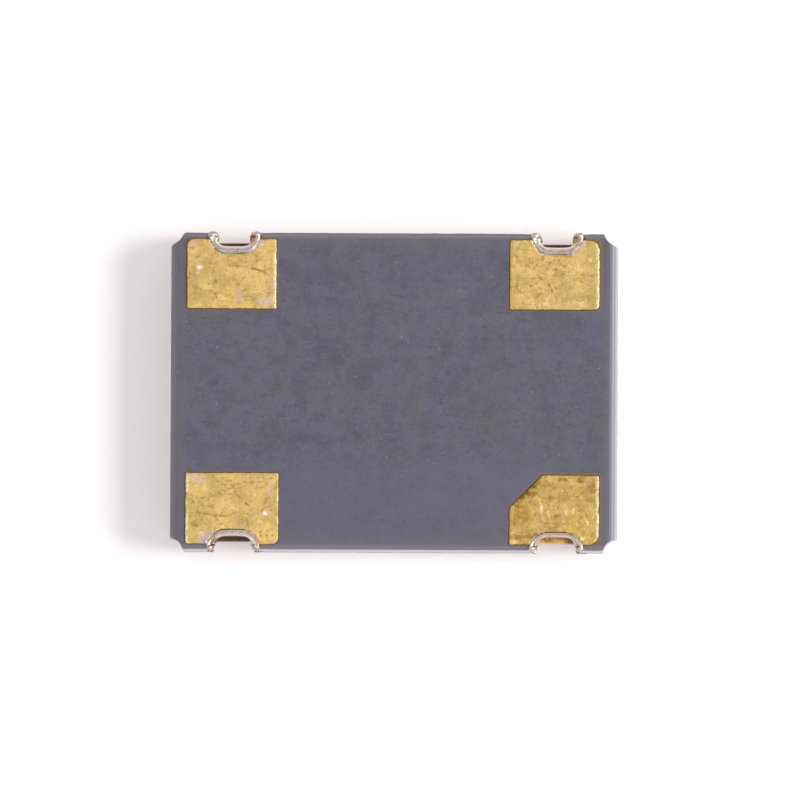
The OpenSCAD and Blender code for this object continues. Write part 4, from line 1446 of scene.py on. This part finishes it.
class OSC_OT_inside(bpy.types.Operator):
    """Rounds or finishes the pieces inside the cavity"""

    bl_idname = "oscillator.inside"
    bl_label = "Inside"

    def execute(self, context):
        gold = plain_metal("inner_gold", "f0cf7a", "dcb256", 0.3, 0.05, 5.0)
        silver = plain_metal("evaporated_silver", "e6e4de", "cfccc4", 0.25, 0.1, 6.0)
        aluminium = plain_metal("chip_aluminium", "dcdcde", "b9babd", 0.3, 0.02, 7.0)
        epoxy = silver_epoxy()
        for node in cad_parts:
            if node.startswith("lead_") or node == "die_land":
                finish_node(node, gold)
            if node.startswith("electrode_"):
                finish_node(node, silver)
            if node.startswith("wire_"):
                settle(softened(node, node + "_round", gold, smoothing=1.0), node)
            if node.startswith("adhesive_"):
                made = softened(node, node + "_dot", epoxy, width=0.012, segments=5)
                settle(made, node)
        finish_node("die_pads", aluminium)
        settle(softened("die_attach", "epoxy_fillet", epoxy, 0.008, 4), "die_attach")
        settle(softened("ic_die", "sawn_chip", polished_silicon(), 0.004, 2), "ic_die")
        blank = softened("quartz_blank", "lapped_blank", lapped_quartz(), 0.012, 4)
        settle(blank, "quartz_blank")
        return {"FINISHED"}


def seen_directly(tree):
    """1 for rays from the camera, from a mirror and through glass, 0 for the others."""
    path = add_node(tree, "LightPath").outputs
    found = path["Is Camera Ray"]
    for kind in ("Is Glossy Ray", "Is Transmission Ray"):
        found = add_node(tree, "Math", found, path[kind], operation="MAXIMUM").outputs[0]
    return found


def white_paper():
    """White seamless paper: shows white to the camera, and keeps the shadow."""
    material = bpy.data.materials.new("white_paper")
    material.use_nodes = True
    tree = material.node_tree
    tree.nodes.clear()
    paper = add_node(tree, "BsdfDiffuse", linear("f4f2f2")).outputs[0]
    seen = add_node(tree, "BsdfDiffuse", linear("e5e6e6")).outputs[0]
    lift = add_node(tree, "Emission", linear("a59b9c"), 1.0).outputs[0]
    shown = add_node(tree, "AddShader", seen, lift).outputs[0]
    mixed = add_node(tree, "MixShader", seen_directly(tree), paper, shown).outputs[0]
    add_node(tree, "OutputMaterial", mixed)
    return material


def white_world(strength):
    """Surroundings: soft light on the object, and white where they are seen or mirrored."""
    world = bpy.data.worlds.new("white_studio")
    world.use_nodes = True
    tree = world.node_tree
    tree.nodes.clear()
    white = linear("ffffff")
    lit = add_node(tree, "Background", white, strength).outputs[0]
    seen = add_node(tree, "Background", white, 1.0).outputs[0]
    mixed = add_node(tree, "MixShader", seen_directly(tree), lit, seen).outputs[0]
    add_node(tree, "OutputWorld", mixed)
    bpy.context.scene.world = world


class OSC_OT_stage(bpy.types.Operator):
    """Sets the floor, the lights and the camera"""

    bl_idname = "oscillator.stage"
    bl_label = "Stage"

    def execute(self, context):
        scene = context.scene
        look = scene.osc_stage
        reach = 1.0  # the paper runs out of sight
        floor_mesh = bpy.data.meshes.new("floor")
        corners = [(-reach, -reach, 0), (reach, -reach, 0), (reach, reach, 0), (-reach, reach, 0)]
        floor_mesh.from_pydata(corners, [], [(0, 1, 2, 3)])
        floor_mesh.materials.append(white_paper())
        floor = bpy.data.objects.new("floor", floor_mesh)
        scene.collection.objects.link(floor)
        white_world(look.world)
        middle = (CAD_LOW + CAD_HIGH) / 2
        lamp = bpy.data.lights.new("key", "AREA")
        lamp.shape = "RECTANGLE"
        lamp.size, lamp.size_y = look.key_l, look.key_w
        lamp.energy = look.key
        key = bpy.data.objects.new("key", lamp)
        scene.collection.objects.link(key)
        key.location = middle + Vector((look.key_x, 0.0, look.key_z))
        key.rotation_euler = (middle - key.location).to_track_quat("-Z", "Y").to_euler()

        lean = Vector((math.tan(look.lean_right), -math.tan(look.lean_near), 1.0)).normalized()
        lens = bpy.data.cameras.new("camera")
        lens.sensor_width = 36.0
        lens.lens = lens.sensor_width * look.distance / look.view_width
        lens.clip_start, lens.clip_end = 0.01, 10.0
        camera = bpy.data.objects.new("camera", lens)
        scene.collection.objects.link(camera)
        across = Vector((0, 1, 0)).cross(lean).normalized()
        upward = lean.cross(across)
        turn = Matrix((across, upward, lean)).transposed()
        turn = turn @ Matrix.Rotation(-look.roll, 3, "Z")
        place = middle + across * look.aim_right - upward * look.aim_down + lean * look.distance
        camera.matrix_world = Matrix.Translation(place) @ turn.to_4x4()
        scene.camera = camera
        scene.view_settings.view_transform = "Standard"
        return {"FINISHED"}


class OSC_PT_panel(bpy.types.Panel):
    """Lists the operators, and the sizes and colours that they use"""

    bl_label = "Oscillator"
    bl_idname = "OSC_PT_panel"
    bl_space_type = "VIEW_3D"
    bl_region_type = "UI"
    bl_category = "Oscillator"

    def draw(self, context):
        for operator in OPERATORS:
            self.layout.operator(operator.bl_idname)
        for name, group in GROUPS.items():
            for key in group.__annotations__:
                self.layout.prop(getattr(context.scene, name), key)


OPERATORS = [OSC_OT_ceramic_base, OSC_OT_lands, OSC_OT_lid, OSC_OT_inside, OSC_OT_stage]
GROUPS = {
    "osc_ceramic": CeramicSizes,
    "osc_lands": LandSizes,
    "osc_finishes": Finishes,
    "osc_stage": StageSettings,
}


def register():
    for name, group in GROUPS.items():
        bpy.utils.register_class(group)
        setattr(bpy.types.Scene, name, PointerProperty(type=group))
    for operator in OPERATORS:
        bpy.utils.register_class(operator)
    bpy.utils.register_class(OSC_PT_panel)


def unregister():
    bpy.utils.unregister_class(OSC_PT_panel)
    for operator in reversed(OPERATORS):
        bpy.utils.unregister_class(operator)
    for name, group in reversed(GROUPS.items()):
        delattr(bpy.types.Scene, name)
        bpy.utils.unregister_class(group)


def main():
    register()
    bpy.ops.oscillator.ceramic_base()
    bpy.ops.oscillator.lands()
    bpy.ops.oscillator.lid()
    bpy.ops.oscillator.inside()
    bpy.ops.oscillator.stage()


if __name__ == "__main__":
    main()
